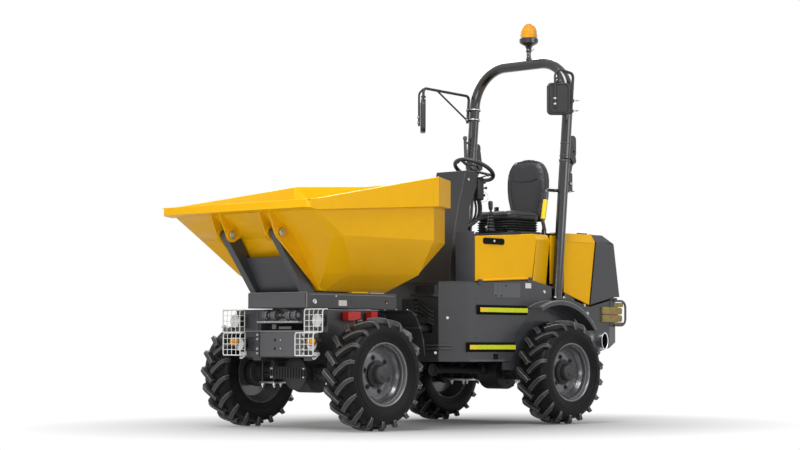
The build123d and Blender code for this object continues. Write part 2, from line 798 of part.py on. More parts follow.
with BuildPart() as steps:
    for step_side in (-1, 1):
        for step_z, step_front, step_rear in step_rows:
            with BuildSketch(Plane.XY.offset(step_z)):
                with Locations((step_side * (body_half + step_out / 2), (step_front + step_rear) / 2)):
                    Rectangle(step_out, step_rear - step_front)
            extrude(amount=step_high)
steps.part.label = "steps"
export_step(steps.part, "parts/steps.step")

box_x = body_half - 90
box_half = 70.0
box_wall = 8.0
box_drop = 8.0
seat_box_front = 735.0
seat_box_half = body_half - 170
hood_deck_y = 1255.0
with BuildPart() as platform:
    with BuildSketch(Plane.XY.offset(deck_z)):
        Polygon(
            (body_half - body_chamfer, body_front_y),
            (body_half, body_front_y + body_chamfer_y),
            (body_half, body_front_y + body_chamfer_y + 60),
            (body_half - body_wall, body_front_y + body_chamfer_y + 60),
            (body_half - body_wall, door_rear_y - 6),
            (seat_box_half, door_rear_y - 6),
            (seat_box_half, hood_front_y),
            (-seat_box_half, hood_front_y),
            (-seat_box_half, door_rear_y - 6),
            (-body_half + body_wall, door_rear_y - 6),
            (-body_half + body_wall, body_front_y + body_chamfer_y + 60),
            (-body_half, body_front_y + body_chamfer_y + 60),
            (-body_half, body_front_y + body_chamfer_y),
            (-body_half + body_chamfer, body_front_y),
            align=None,
        )
    extrude(amount=sill)
    for box_side in (-1, 1):
        for inset in (0, box_wall):
            with BuildSketch(Plane.YZ.offset(box_side * (box_x + box_half - inset))):
                Polygon(
                    (door_front_y + inset, deck_z + sill),
                    (door_front_y + inset, door_high_z - box_drop - inset),
                    (door_rear_y - 4 - inset, door_high_z + door_rise - box_drop - inset),
                    (door_rear_y - 4 - inset, deck_z + sill),
                    align=None,
                )
            extrude(
                amount=-box_side * 2 * (box_half - inset),
                mode=Mode.SUBTRACT if inset else Mode.ADD,
            )
    with BuildSketch(Plane.XY.offset(deck_z + sill)):
        with Locations((0, (seat_box_front + hood_front_y) / 2)):
            Rectangle(2 * seat_box_half, hood_front_y - seat_box_front)
            Rectangle(
                2 * (seat_box_half - box_wall),
                hood_front_y - seat_box_front - 2 * box_wall,
                mode=Mode.SUBTRACT,
            )
    extrude(amount=hood_high_z - deck_z - sill)
    with BuildSketch(Plane.XY.offset(hood_high_z - box_wall)):
        with Locations((0, (seat_box_front + hood_deck_y) / 2)):
            Rectangle(2 * seat_box_half, hood_deck_y - seat_box_front)
    extrude(amount=box_wall)
platform.part.label = "operator_platform"
export_step(platform.part, "parts/operator_platform.step")

for name, door_side in (("left_door", 1), ("right_door", -1)):
    with BuildPart() as door:
        with BuildSketch(Plane.YZ.offset(door_side * body_half)):
            Polygon(
                (door_front_y, door_low_z),
                (door_rear_y, door_low_z + door_rise),
                (door_rear_y + 54, door_high_z + 5),
                (door_rear_y + 20, door_high_z + door_rise + 8),
                (door_front_y, door_high_z),
                align=None,
            )
        extrude(amount=-door_side * door_thick)
        with BuildSketch(hinge_line.offset(60)):
            with Locations((-door_side * door_hinge_x, 0)):
                Circle(knuckle)
            with Locations((-door_side * (door_hinge_x - 7), 3)):
                Rectangle(10, 9)
            with Locations((-door_side * door_hinge_x, 0)):
                Circle(hinge_pin + pin_play, mode=Mode.SUBTRACT)
        extrude(amount=hinge_long - 120)
    door.part.label = name
    export_step(door.part, f"parts/{name}.step")

flank_rows = (
    # height, corner y, middle x, middle y, inner x, rear y, outer x
    (1010.0, door_rear_y + 6, body_half - 38, 795.0, body_half - 68, 895.0, body_half),
    (1395.0, door_rear_y + 62, body_half - 38, 845.0, body_half - 68, 945.0, body_half),
    (1437.0, door_rear_y + 42, body_half - 60, 840.0, body_half - 85, 940.0, body_half - 30),
)
with BuildPart() as flanks:
    for flank_side in (-1, 1):
        for low, high in zip(flank_rows, flank_rows[1:]):
            for height, corner_y, middle_x, middle_y, inner_x, rear_y, outer_x in (low, high):
                with BuildSketch(Plane.XY.offset(height)):
                    Polygon(
                        (flank_side * outer_x, corner_y),
                        (flank_side * middle_x, middle_y),
                        (flank_side * inner_x, rear_y),
                        (flank_side * seat_box_half, rear_y),
                        (flank_side * seat_box_half, corner_y),
                        align=None,
                    )
            loft(ruled=True)
    with BuildSketch(Plane.YZ.offset(-body_half)):
        Polygon(
            (door_rear_y - 60, shelf_top(door_rear_y - 60) + 0.2),
            (door_rear_y - 60, 900),
            (shelf_rear_y + 200, 900),
            (shelf_rear_y + 200, shelf_top(shelf_rear_y + 200) + 0.2),
            align=None,
        )
    extrude(amount=2 * body_half, mode=Mode.SUBTRACT)
flanks.part.label = "bonnet_flanks"
export_step(flanks.part, "parts/bonnet_flanks.step")

console_rows = (
    # height, half width, front y, rear y
    (deck_z + sill, 300.0, -60.0, 190.0),
    (1300.0, 235.0, 40.0, 210.0),
    (1640.0, 160.0, 200.0, 330.0),
    (1800.0, 150.0, 262.0, 420.0),
    (1912.0, 150.0, 290.0, 420.0),
)
console_wall = 5.0
with BuildPart() as console:
    for inset in (0.0, console_wall):
        mode = Mode.SUBTRACT if inset else Mode.ADD
        for low, high in zip(console_rows, console_rows[1:]):
            for height, half, front, rear in (low, high):
                top_inset = inset if height == console_rows[-1][0] else 0
                with BuildSketch(Plane.XY.offset(height - top_inset)):
                    with Locations((0, (front + rear) / 2)):
                        Rectangle(2 * (half - inset), rear - front - 2 * inset)
            loft(ruled=True, mode=mode)
console.part.label = "console"
export_step(console.part, "parts/console.step")

# --------------------------------------------------- steering and controls
wheel_y = 555.0
wheel_z = 1940.0
wheel_ring = 170.0
wheel_tube = 14.0
wheel_tilt = 28.0
wheel_plane = Plane((0, wheel_y, wheel_z), x_dir=(1, 0, 0), z_dir=(0, sin(radians(wheel_tilt)), cos(radians(wheel_tilt))))
with BuildPart() as steering_wheel:
    with BuildSketch(Plane.XZ):
        with Locations((wheel_ring - wheel_tube, 0)):
            Circle(wheel_tube)
    revolve(axis=Axis.Z)
    with BuildSketch(Plane.XY.offset(-30)):
        with PolarLocations(wheel_ring / 2 - 5, 3):
            Rectangle(wheel_ring - 20, 24)
    extrude(amount=8)
    with BuildSketch(Plane.XY.offset(-34)):
        Circle(38)
    extrude(amount=30)
    with BuildSketch(Plane.XZ):
        with Locations((wheel_ring - wheel_tube - 10, -18)):
            Rectangle(24, 24)
    revolve(axis=Axis.Z)
wheel_solid = wheel_plane.location * steering_wheel.part
wheel_solid.label = "steering_wheel"
export_step(wheel_solid, "parts/steering_wheel.step")

with BuildPart() as column:
    with BuildSketch(wheel_plane.offset(-35)):
        Circle(26)
    extrude(amount=-150)
    with BuildSketch(wheel_plane.offset(-60)):
        Circle(45)
    extrude(amount=-115)
    with BuildSketch(Plane.XY.offset(1700)):
        with Locations((0, 455)):
            Rectangle(110, 70)
    extrude(amount=120)
column.part.label = "steering_column"
export_step(column.part, "parts/steering_column.step")

# -------------------------------------------------------------------- seat
seat_half = 220.0
cushion_front_y = 745.0
cushion_rear_y = 1190.0
cushion_low_z = hood_high_z + 96
cushion_high_z = cushion_low_z + 76
back_front_y = 1150.0
back_thick = 100.0
back_high_z = cushion_low_z + 509
with BuildPart() as seat_base:
    with BuildSketch(Plane.XY.offset(hood_high_z)):
        with Locations((0, (cushion_front_y + back_front_y) / 2)):
            Rectangle(2 * seat_half - 30, back_front_y - cushion_front_y - 40)
    extrude(amount=cushion_low_z - hood_high_z - 0.3)
seat_base.part.label = "seat_base"
export_step(seat_base.part, "parts/seat_base.step")

with BuildPart() as seat_cushion:
    with BuildSketch(Plane.XY.offset(cushion_low_z)):
        with Locations((0, (cushion_front_y + back_front_y) / 2)):
            RectangleRounded(2 * seat_half, back_front_y - cushion_front_y - 0.6, 60)
    extrude(amount=cushion_high_z - cushion_low_z)
seat_cushion.part.label = "seat_cushion"
export_step(seat_cushion.part, "parts/seat_cushion.step")

with BuildPart() as seat_back:
    with BuildSketch(Plane.XZ.offset(-back_front_y)):
        with Locations((0, (cushion_low_z + back_high_z) / 2)):
            RectangleRounded(2 * seat_half - 30, back_high_z - cushion_low_z, 150)
    extrude(amount=-back_thick)
seat_back.part.label = "seat_back"
export_step(seat_back.part, "parts/seat_back.step")

rail_tube = 14.0
hand_rail_x = 400.0
with BuildPart() as hand_rails:
    for rail_side in (-1, 1):
        with BuildLine() as rail_path:
            FilletPolyline(
                (rail_side * hand_rail_x, 922, 1437.3),
                (rail_side * hand_rail_x, 922, 1475),
                (rail_side * hand_rail_x, 900, 1540),
                (rail_side * hand_rail_x, 948, 1788),
                (rail_side * hand_rail_x, 1040, 1788),
                (rail_side * (rops_x - rops_tube), 1040, 1788),
                radius=28,
            )
        with BuildSketch(Plane(rail_path.line @ 0, z_dir=rail_path.line % 0)):
            Circle(rail_tube)
        sweep()
hand_rails.part.label = "hand_rails"
export_step(hand_rails.part, "parts/hand_rails.step")

# ---------------------------------------------------------------- roll bar
lean = radians(rops_lean)


def rops_at(height):
    """Length position of the roll bar's centre line at a height."""
    return rops_y + (height - rops_foot_z) * sin(lean) / cos(lean)


with BuildPart() as rops_posts:
    for post_side in (-1, 1):
        with BuildSketch(Plane((post_side * rops_x, rops_at(rops_foot_z + 8), rops_foot_z + 8), z_dir=(0, sin(lean), cos(lean)))):
            Circle(rops_tube)
            Circle(rops_tube - rops_wall, mode=Mode.SUBTRACT)
        extrude(amount=(rops_fold_z - rops_foot_z - 12) / cos(lean))
        with BuildSketch(Plane.XY.offset(rops_foot_z)):
            with Locations((post_side * rops_x, rops_y)):
                Rectangle(110, 140)
        extrude(amount=16)
        with BuildSketch(Plane.YZ.offset(post_side * rops_x - 12)):
            with Locations((rops_at(rops_fold_z) + 90, rops_fold_z - 10)):
                Circle(24)
            Polygon(
                (rops_at(rops_fold_z) + 30, rops_fold_z - 150),
                (rops_at(rops_fold_z) + 30, rops_fold_z - 20),
                (rops_at(rops_fold_z) + 90, rops_fold_z + 14),
                (rops_at(rops_fold_z) + 114, rops_fold_z - 10),
                align=None,
            )
            with Locations((rops_at(rops_fold_z) + 90, rops_fold_z - 10)):
                Circle(12 + pin_play, mode=Mode.SUBTRACT)
        extrude(amount=24)
rops_posts.part.label = "rops_posts"
export_step(rops_posts.part, "parts/rops_posts.step")

fold_gap = 1.0
with BuildPart() as rops_hoop:
    with BuildLine() as hoop_path:
        FilletPolyline(
            (-rops_x, rops_at(rops_fold_z + fold_gap), rops_fold_z + fold_gap),
            (-rops_x, rops_at(rops_top_z), rops_top_z),
            (rops_x, rops_at(rops_top_z), rops_top_z),
            (rops_x, rops_at(rops_fold_z + fold_gap), rops_fold_z + fold_gap),
            radius=rops_bend,
        )
    with BuildSketch(Plane(hoop_path.line @ 0, z_dir=hoop_path.line % 0)):
        Circle(rops_tube)
        Circle(rops_tube - rops_wall, mode=Mode.SUBTRACT)
    sweep()
    for post_side in (-1, 1):
        for cheek in (-1, 1):
            with BuildSketch(Plane.YZ.offset(post_side * rops_x + cheek * 13)):
                Polygon(
                    (rops_at(rops_fold_z) + 38, rops_fold_z + 12),
                    (rops_at(rops_fold_z) + 50, rops_fold_z + 150),
                    (rops_at(rops_fold_z) + 90, rops_fold_z + 120),
                    (rops_at(rops_fold_z) + 114, rops_fold_z - 10),
                    (rops_at(rops_fold_z) + 90, rops_fold_z - 34),
                    align=None,
                )
                with Locations((rops_at(rops_fold_z) + 90, rops_fold_z - 10)):
                    Circle(24)
            extrude(amount=cheek * 10)
        with BuildSketch(Plane.YZ.offset(post_side * rops_x - 23)):
            with Locations((rops_at(rops_fold_z) + 90, rops_fold_z - 10)):
                Circle(12)
        extrude(amount=46)
rops_hoop.part.label = "rops_hoop"
export_step(rops_hoop.part, "parts/rops_hoop.step")

beacon_x = 62.0
beacon_rows = (
    # start above the hoop, radius, height
    (0.2, 24.0, 121.0),
    (120.0, 74.0, 50.0),
)
with BuildPart() as beacon:
    for start, radius, high in beacon_rows:
        with BuildSketch(Plane.XY.offset(rops_top_z + rops_tube + start)):
            with Locations((beacon_x, rops_at(rops_top_z))):
                Circle(radius)
        extrude(amount=high)
    with BuildSketch(Plane.XY.offset(rops_top_z + rops_tube + 169)):
        with Locations((beacon_x, rops_at(rops_top_z))):
            Circle(68)
    extrude(amount=60)
    with BuildSketch(Plane.XY.offset(rops_top_z + rops_tube + 229)):
        with Locations((beacon_x, rops_at(rops_top_z))):
            Circle(68)
    extrude(amount=57, taper=30)
beacon.part.label = "beacon"
export_step(beacon.part, "parts/beacon.step")

mirror_rows = (
    # name, clamp height, top height, forward reach, mirror centre height, side
    ("left_mirror", 2380.0, 2690.0, 200.0, 2480.0, 1),
    ("right_mirror", 2380.0, 2600.0, 560.0, 2390.0, -1),
)
mirror_tube = 12.0
for name, low_z, high_z, reach, centre_z, side in mirror_rows:
    clamp_x = side * (rops_x + rops_tube + mirror_tube + 1)
    with BuildPart() as mirror:
        with BuildLine() as arm_path:
            FilletPolyline(
                (clamp_x, rops_at(low_z) - 20, low_z),
                (clamp_x, rops_at(high_z) - 20, high_z),
                (clamp_x, rops_at(high_z) - reach, high_z + 20),
                (clamp_x, rops_at(high_z) - reach, centre_z - 40),
                radius=35,
            )
        with BuildSketch(Plane(arm_path.line @ 0, z_dir=arm_path.line % 0)):
            Circle(mirror_tube)
        sweep()
        head = Plane(
            (clamp_x, rops_at(high_z) - reach, centre_z),
            x_dir=(cos(radians(45)), side * sin(radians(45)), 0),
            z_dir=(side * sin(radians(45)), -cos(radians(45)), 0),
        )
        with BuildSketch(head.offset(-16)):
            RectangleRounded(180, 250, 35)
        extrude(amount=40)
        for clamp_z in (low_z + 15, low_z + 95):
            clamp_plane = Plane((side * rops_x, rops_at(clamp_z), clamp_z), z_dir=(0, sin(lean), cos(lean)))
            with BuildSketch(clamp_plane):
                Circle(rops_tube + 7)
                with Locations((side * (rops_tube + 8), -20)):
                    Rectangle(24, 40)
                Circle(rops_tube + 0.3, mode=Mode.SUBTRACT)
            extrude(amount=18)
    mirror.part.label = name
    export_step(mirror.part, f"parts/{name}.step")

# ---------------------------------------------------- engine cover and tail
hood_wall = 4.0
hood_corner = 40.0
hood_crease_z = 1392.0
hood_top_front_y = 1260.0
cover_low_z = 975.0
hood_rows = (
    # name, outline as (y, z): low front, top front, top rear, rear, low rear
    ("engine_cover", [
        (hood_front_y, hood_low_z),
        (hood_front_y, hood_crease_z - 200),
        (hood_front_y, hood_high_z),
        (1438, hood_high_z),
        (1446, 1404),
        (1370, 904),
    ]),
    ("rear_cover", [
        (1370, 904),
        (1446, 1404),
        (1438, hood_high_z),
        (1582, hood_high_z),
        (1680, 1394),
        (1753, cover_low_z),
        (1700, cover_low_z),
    ]),
)
for name, outline in hood_rows:
    with BuildPart() as hood:
        with BuildSketch(Plane.YZ.offset(-hood_half)):
            Polygon(*outline, align=None)
        extrude(amount=2 * hood_half)
        for edge_side in (-1, 1):
            with BuildSketch(Plane.XZ.offset(-hood_front_y + 10)):
                Polygon(
                    (edge_side * hood_half, hood_crease_z),
                    (edge_side * (hood_half + 10), hood_crease_z),
                    (edge_side * (hood_half + 10), hood_high_z + 10),
                    (edge_side * (hood_half - hood_corner), hood_high_z),
                    align=None,
                )
            extrude(amount=-(tail_rear_y - hood_front_y), mode=Mode.SUBTRACT)
        with BuildSketch(Plane.YZ.offset(-hood_half + hood_wall)):
            Polygon(
                (hood_front_y - 10, 800),
                (hood_front_y - 10, hood_high_z - hood_wall),
                (1580, hood_high_z - hood_wall),
                (1676, 1392),
                (1748, cover_low_z),
                (1720, 800),
                align=None,
            )
        inside = extrude(amount=2 * (hood_half - hood_wall), mode=Mode.PRIVATE)
        for edge_side in (-1, 1):
            with BuildSketch(Plane.XZ.offset(-hood_front_y + 20)):
                Polygon(
                    (edge_side * (hood_half - hood_wall), hood_crease_z - 2),
                    (edge_side * (hood_half + 10), hood_crease_z - 2),
                    (edge_side * (hood_half + 10), hood_high_z + 10),
                    (edge_side * (hood_half - hood_corner - 2), hood_high_z - hood_wall),
                    align=None,
                )
            inside = inside - extrude(amount=-(tail_rear_y - hood_front_y + 30), mode=Mode.PRIVATE)
        add(inside, mode=Mode.SUBTRACT)
        if name == "engine_cover":
            with BuildSketch(Plane.XY.offset(hood_crease_z - 192)):
                with Locations((0, hood_top_front_y / 2)):
                    Rectangle(2 * seat_box_half + 20, hood_top_front_y)
            extrude(amount=400, mode=Mode.SUBTRACT)
        else:
            for ear_side in (-1, 1):
                with BuildSketch(Plane.YZ.offset(ear_side * 217)):
                    Polygon(
                        (1748, cover_low_z + 10),
                        (1742, cover_low_z + 55),
                        (cover_hinge_y + 14, cover_hinge_z + 4),
                        (cover_hinge_y, cover_hinge_z - 14),
                        align=None,
                    )
                    with Locations((cover_hinge_y, cover_hinge_z)):
                        Circle(15)
                        Circle(cover_pin + pin_play, mode=Mode.SUBTRACT)
                extrude(amount=ear_side * 14)
    hood.part.label = name
    export_step(hood.part, f"parts/{name}.step")

with BuildPart() as engine:
    with BuildSketch(Plane.XY.offset(rail_low_z + 5)):
        with Locations((0, 1355)):
            Rectangle(500, 540)
    extrude(amount=640)
    for foot_side in (-1, 1):
        for foot_y in (1180, 1540):
            with BuildSketch(Plane.XY.offset(560)):
                with Locations((foot_side * (rail_x - rail_half - 10), foot_y)):
                    Rectangle(19.4, 80)
            extrude(amount=40)
engine.part.label = "engine_block"
export_step(engine.part, "parts/engine_block.step")

guard_thick = 8.0
guard_out = 140.0
guard_lip = 30.0
guard_points = (
    # length from the axle, height above it
    (-225.0, 485.0),
    (30.0, 534.0),
    (421.0, 322.0),
)
with BuildPart() as mudguards:
    for guard_side in (-1, 1):
        for depth, start, width in ((guard_thick, 0, guard_out), (guard_lip, guard_out - guard_thick, guard_thick)):
            with BuildSketch(Plane.YZ.offset(guard_side * (body_half + start))):
                with BuildLine():
                    outer = [(rear_axle_y + y, tyre_radius + z) for y, z in guard_points]
                    inner = [(rear_axle_y + y * 1.0, tyre_radius + z - depth) for y, z in guard_points]
                    ThreePointArc(*outer)
                    Line(outer[2], inner[2])
                    ThreePointArc(*inner[::-1])
                    Line(inner[0], outer[0])
                make_face()
            extrude(amount=guard_side * width)
mudguards.part.label = "rear_mudguards"
export_step(mudguards.part, "parts/rear_mudguards.step")

lamp_low_z = 774.0
lamp_high_z = 896.0
lamp_in_x = 335.0
lamp_out_x = 480.0
lamp_rear_y = 1800.0
with BuildPart() as rear_lamps:
    for lamp_side in (-1, 1):
        with BuildSketch(Plane.XY.offset(lamp_low_z)):
            Polygon(
                (lamp_side * lamp_in_x, tail_rear_y),
                (lamp_side * (tail_side_x - 35), tail_rear_y),
                (lamp_side * tail_side_x, tail_y),
                (lamp_side * tail_side_x, tail_y - 105),
                (lamp_side * lamp_out_x, tail_y - 105),
                (lamp_side * lamp_out_x, lamp_rear_y),
                (lamp_side * lamp_in_x, lamp_rear_y),
                align=None,
            )
        extrude(amount=lamp_high_z - lamp_low_z)
        for hoop_x in (lamp_in_x + 12, lamp_out_x - 36):
            with BuildSketch(Plane.YZ.offset(lamp_side * hoop_x)):
                Polygon(
                    (tail_rear_y + 0.2, lamp_high_z + 56),
                    (1790, lamp_high_z + 66),
                    (1848, lamp_high_z + 14),
                    (1848, lamp_low_z + 4),
                    (1800, lamp_low_z - 42),
                    (tail_rear_y + 0.2, lamp_low_z - 42),
                    (tail_rear_y + 0.2, lamp_low_z - 22),
                    (1792, lamp_low_z - 22),
                    (1828, lamp_low_z + 10),
                    (1828, lamp_high_z + 8),
                    (1784, lamp_high_z + 46),
                    (tail_rear_y + 0.2, lamp_high_z + 36),
                    align=None,
                )
            extrude(amount=lamp_side * 24)
        with BuildSketch(Plane.YZ.offset(lamp_side * (lamp_in_x + 20))):
            for cross_z in (lamp_low_z + 20, (lamp_low_z + lamp_high_z) / 2, lamp_high_z - 16):
                with Locations((1838, cross_z)):
                    Circle(8)
        extrude(amount=lamp_side * (lamp_out_x - lamp_in_x - 36))
rear_lamps.part.label = "rear_lamp_guards"
export_step(rear_lamps.part, "parts/rear_lamp_guards.step")

with BuildPart() as exhaust:
    with BuildSketch(Plane.YZ.offset(tail_side_x + 0.3)):
        with Locations((exhaust_y, exhaust_z)):
            Ellipse(44, 70)
            Ellipse(30, 56, mode=Mode.SUBTRACT)
    extrude(amount=6)
    with BuildSketch(Plane.YZ.offset(tail_side_x + 0.3)):
        with Locations((exhaust_y, exhaust_z)):
            Ellipse(34, 60)
            Ellipse(30, 56, mode=Mode.SUBTRACT)
    extrude(amount=55)
exhaust.part.label = "exhaust_tip"
export_step(exhaust.part, "parts/exhaust_tip.step")

# ------------------------------------------------------------ steering ram
ram_run = Vector(steer_eye[0] - steer_base[0], steer_eye[1] - steer_base[1], 0)
steer_plane = Plane((steer_base[0], steer_base[1], steer_z), z_dir=(ram_run.X, ram_run.Y, 0))
with BuildPart() as steer_barrel:
    with BuildSketch(steer_plane):
        Circle(steer_radius)
    extrude(amount=steer_barrel_long)
    with BuildSketch(Plane.XY.offset(steer_z - 26)):
        with Locations(steer_base):
            Circle(steer_pin + 14)
    extrude(amount=52)
    with BuildSketch(steer_plane.offset(40)):
        Circle(steer_rod_radius + running_gap)
    extrude(amount=steer_barrel_long, mode=Mode.SUBTRACT)
    with BuildSketch(Plane.XY.offset(steer_z - 40)):
        with Locations(steer_base):
            Circle(steer_pin + pin_play)
    extrude(amount=80, mode=Mode.SUBTRACT)
steer_barrel.part.label = "steering_ram_barrel"
export_step(steer_barrel.part, "parts/steering_ram_barrel.step")

with BuildPart() as steer_rod:
    with BuildSketch(steer_plane.offset(steer_rod_start)):
        Circle(steer_rod_radius)
    extrude(amount=ram_run.length - steer_rod_start)
    with BuildSketch(Plane.XY.offset(steer_z - 14)):
        with Locations(steer_eye):
            Circle(26)
    extrude(amount=28)
steer_rod.part.label = "steering_ram_rod"
export_step(steer_rod.part, "parts/steering_ram_rod.step")
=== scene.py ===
import json
from math import atan2, cos, hypot, pi, radians, sin

import bmesh
import bpy
from mathutils import Euler, Matrix, Vector

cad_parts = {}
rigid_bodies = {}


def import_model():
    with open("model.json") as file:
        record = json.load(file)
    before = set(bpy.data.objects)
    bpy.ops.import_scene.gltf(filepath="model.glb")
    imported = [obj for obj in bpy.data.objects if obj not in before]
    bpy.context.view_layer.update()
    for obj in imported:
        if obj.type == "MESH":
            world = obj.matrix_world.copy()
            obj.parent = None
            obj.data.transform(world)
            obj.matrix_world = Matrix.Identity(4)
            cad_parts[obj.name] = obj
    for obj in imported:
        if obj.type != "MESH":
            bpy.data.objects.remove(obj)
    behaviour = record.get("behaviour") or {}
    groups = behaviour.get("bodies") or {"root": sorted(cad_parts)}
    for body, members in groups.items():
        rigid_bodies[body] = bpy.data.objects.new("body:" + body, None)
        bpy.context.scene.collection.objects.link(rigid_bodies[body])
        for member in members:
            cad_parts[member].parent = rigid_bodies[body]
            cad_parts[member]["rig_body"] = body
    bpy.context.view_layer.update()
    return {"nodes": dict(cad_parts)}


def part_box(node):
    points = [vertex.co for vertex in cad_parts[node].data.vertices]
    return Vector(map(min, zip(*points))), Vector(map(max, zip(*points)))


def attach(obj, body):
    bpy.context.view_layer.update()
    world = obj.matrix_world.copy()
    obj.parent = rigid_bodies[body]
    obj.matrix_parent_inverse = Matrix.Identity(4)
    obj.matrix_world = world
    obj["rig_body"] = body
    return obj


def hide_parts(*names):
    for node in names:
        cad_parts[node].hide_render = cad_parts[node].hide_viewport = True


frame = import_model()
nodes = frame["nodes"]
print("frame loaded:", len(nodes), "nodes")

# camera: place in metres, angles in degrees, lens in millimetres
view = {"place": (10.69, -11.41, 0.5975), "turn": 43.816, "lift": 3.268, "roll": 0.16, "lens": 93.85}
cameraData = bpy.data.cameras.new("camera")
cameraData.lens = view["lens"]
cameraData.clip_end = 100
camera = bpy.data.objects.new("camera", cameraData)
bpy.context.collection.objects.link(camera)
turned = Euler((radians(90 + view["lift"]), 0, radians(view["turn"]))).to_matrix()
rolled = Euler((0, 0, radians(view["roll"]))).to_matrix()
camera.matrix_world = Matrix.Translation(view["place"]) @ (turned @ rolled).to_4x4()
bpy.context.scene.camera = camera


# node helpers and materials
def newGroup(name, inputs, outputs):
    group = bpy.data.node_groups.new(name, "ShaderNodeTree")
    for socket, kind, value in inputs:
        item = group.interface.new_socket(socket, in_out="INPUT", socket_type=kind)
        item.default_value = value
    for socket, kind in outputs:
        group.interface.new_socket(socket, in_out="OUTPUT", socket_type=kind)
    return group, group.nodes.new("NodeGroupInput"), group.nodes.new("NodeGroupOutput")


def addNode(tree, kind, links=None, **values):
    node = tree.nodes.new("ShaderNode" + kind)
    for key, value in values.items():
        if hasattr(node, key):
            setattr(node, key, value)
        else:
            node.inputs[key].default_value = value
    for key, source in (links or {}).items():
        tree.links.new(source, node.inputs[key])
    return node


def mathNode(tree, operation, first, second, third=None):
    node = tree.nodes.new("ShaderNodeMath")
    node.operation = operation
    for place, value in enumerate((first, second, third)):
        if value is None:
            continue
        if isinstance(value, (int, float)):
            node.inputs[place].default_value = value
        else:
            tree.links.new(value, node.inputs[place])
    return node.outputs[0]


def mixColour(tree, factor, first, second, blend="MIX"):
    node = tree.nodes.new("ShaderNodeMix")
    node.data_type = "RGBA"
    node.blend_type = blend
    for place, value in (("Factor", factor), ("A", first), ("B", second)):
        socket = [s for s in node.inputs if s.name == place and (s.type == "RGBA" or place == "Factor")][0]
        if isinstance(value, (int, float, tuple)):
            socket.default_value = value
        else:
            tree.links.new(value, socket)
    return [s for s in node.outputs if s.type == "RGBA"][0]


def newMaterial(name):
    material = bpy.data.materials.new(name)
    material.use_nodes = True
    return material, material.node_tree, material.node_tree.nodes["Principled BSDF"]


def seenStraight(tree, light):
    # 1 where the camera sees the surface, straight, mirrored or through glass
    seen = mathNode(tree, "MAXIMUM", light.outputs["Is Camera Ray"], light.outputs["Is Glossy Ray"])
    return mathNode(tree, "MAXIMUM", seen, light.outputs["Is Transmission Ray"])


# dust and mottle shared by every outdoor finish: more dust low down, in patches
skin, skinIn, skinOut = newGroup(
    "fieldSkin",
    [
        ("Colour", "NodeSocketColor", (0.5, 0.5, 0.5, 1)),
        ("Mottle", "NodeSocketFloat", 0.1),
        ("Roughness", "NodeSocketFloat", 0.4),
        ("Grain Scale", "NodeSocketFloat", 400.0),
        ("Dust", "NodeSocketFloat", 0.2),
        ("Dust Height", "NodeSocketFloat", 0.9),
    ],
    [("Colour", "NodeSocketColor"), ("Roughness", "NodeSocketFloat"), ("Height", "NodeSocketFloat")],
)
place = addNode(skin, "TexCoord").outputs["Object"]
broad = addNode(skin, "TexNoise", {"Vector": place}, Scale=2.3, Detail=4.0, Roughness=0.55).outputs["Fac"]
patchy = addNode(skin, "TexNoise", {"Vector": place}, Scale=14.0, Detail=5.0, Roughness=0.65).outputs["Fac"]
grain = addNode(skin, "TexNoise", {"Vector": place, "Scale": skinIn.outputs["Grain Scale"]},
                Detail=2.0).outputs["Fac"]
height = addNode(skin, "SeparateXYZ", {"Vector": place}).outputs["Z"]
low = mathNode(skin, "SUBTRACT", 1.0, mathNode(skin, "DIVIDE", height, skinIn.outputs["Dust Height"]))
low = addNode(skin, "Clamp", {"Value": low}).outputs[0]
dusty = mathNode(skin, "MULTIPLY", mathNode(skin, "MULTIPLY", low, patchy), skinIn.outputs["Dust"])
shade = mathNode(skin, "MULTIPLY_ADD", mathNode(skin, "SUBTRACT", broad, 0.5), skinIn.outputs["Mottle"], 1.0)
shade = mathNode(skin, "MULTIPLY_ADD", mathNode(skin, "SUBTRACT", patchy, 0.5), skinIn.outputs["Mottle"], shade)
shadeColour = addNode(skin, "CombineColor", {"Red": shade, "Green": shade, "Blue": shade}).outputs[0]
tinted = mixColour(skin, 1.0, skinIn.outputs["Colour"], shadeColour, "MULTIPLY")
dusted = mixColour(skin, dusty, tinted, (0.2, 0.19, 0.175, 1))
skin.links.new(dusted, skinOut.inputs["Colour"])
rough = mathNode(skin, "MULTIPLY_ADD", mathNode(skin, "SUBTRACT", patchy, 0.5), 0.16,
                 skinIn.outputs["Roughness"])
rough = mathNode(skin, "MULTIPLY_ADD", dusty, 0.5, rough)
skin.links.new(rough, skinOut.inputs["Roughness"])
skin.links.new(grain, skinOut.inputs["Height"])

# pebbled grain of vinyl and moulded plastic
pebble, pebbleIn, pebbleOut = newGroup(
    "pebbleGrain",
    [("Scale", "NodeSocketFloat", 500.0), ("Crease", "NodeSocketFloat", 0.3)],
    [("Height", "NodeSocketFloat"), ("Mask", "NodeSocketFloat")],
)
place = addNode(pebble, "TexCoord").outputs["Object"]
cells = addNode(pebble, "TexVoronoi", {"Vector": place, "Scale": pebbleIn.outputs["Scale"]},
                feature="SMOOTH_F1").outputs["Distance"]
folds = addNode(pebble, "TexNoise", {"Vector": place}, Scale=38.0, Detail=3.0, Distortion=0.6).outputs["Fac"]
mixed = mathNode(pebble, "MULTIPLY_ADD", folds, pebbleIn.outputs["Crease"], cells)
pebble.links.new(mixed, pebbleOut.inputs["Height"])
pebble.links.new(folds, pebbleOut.inputs["Mask"])

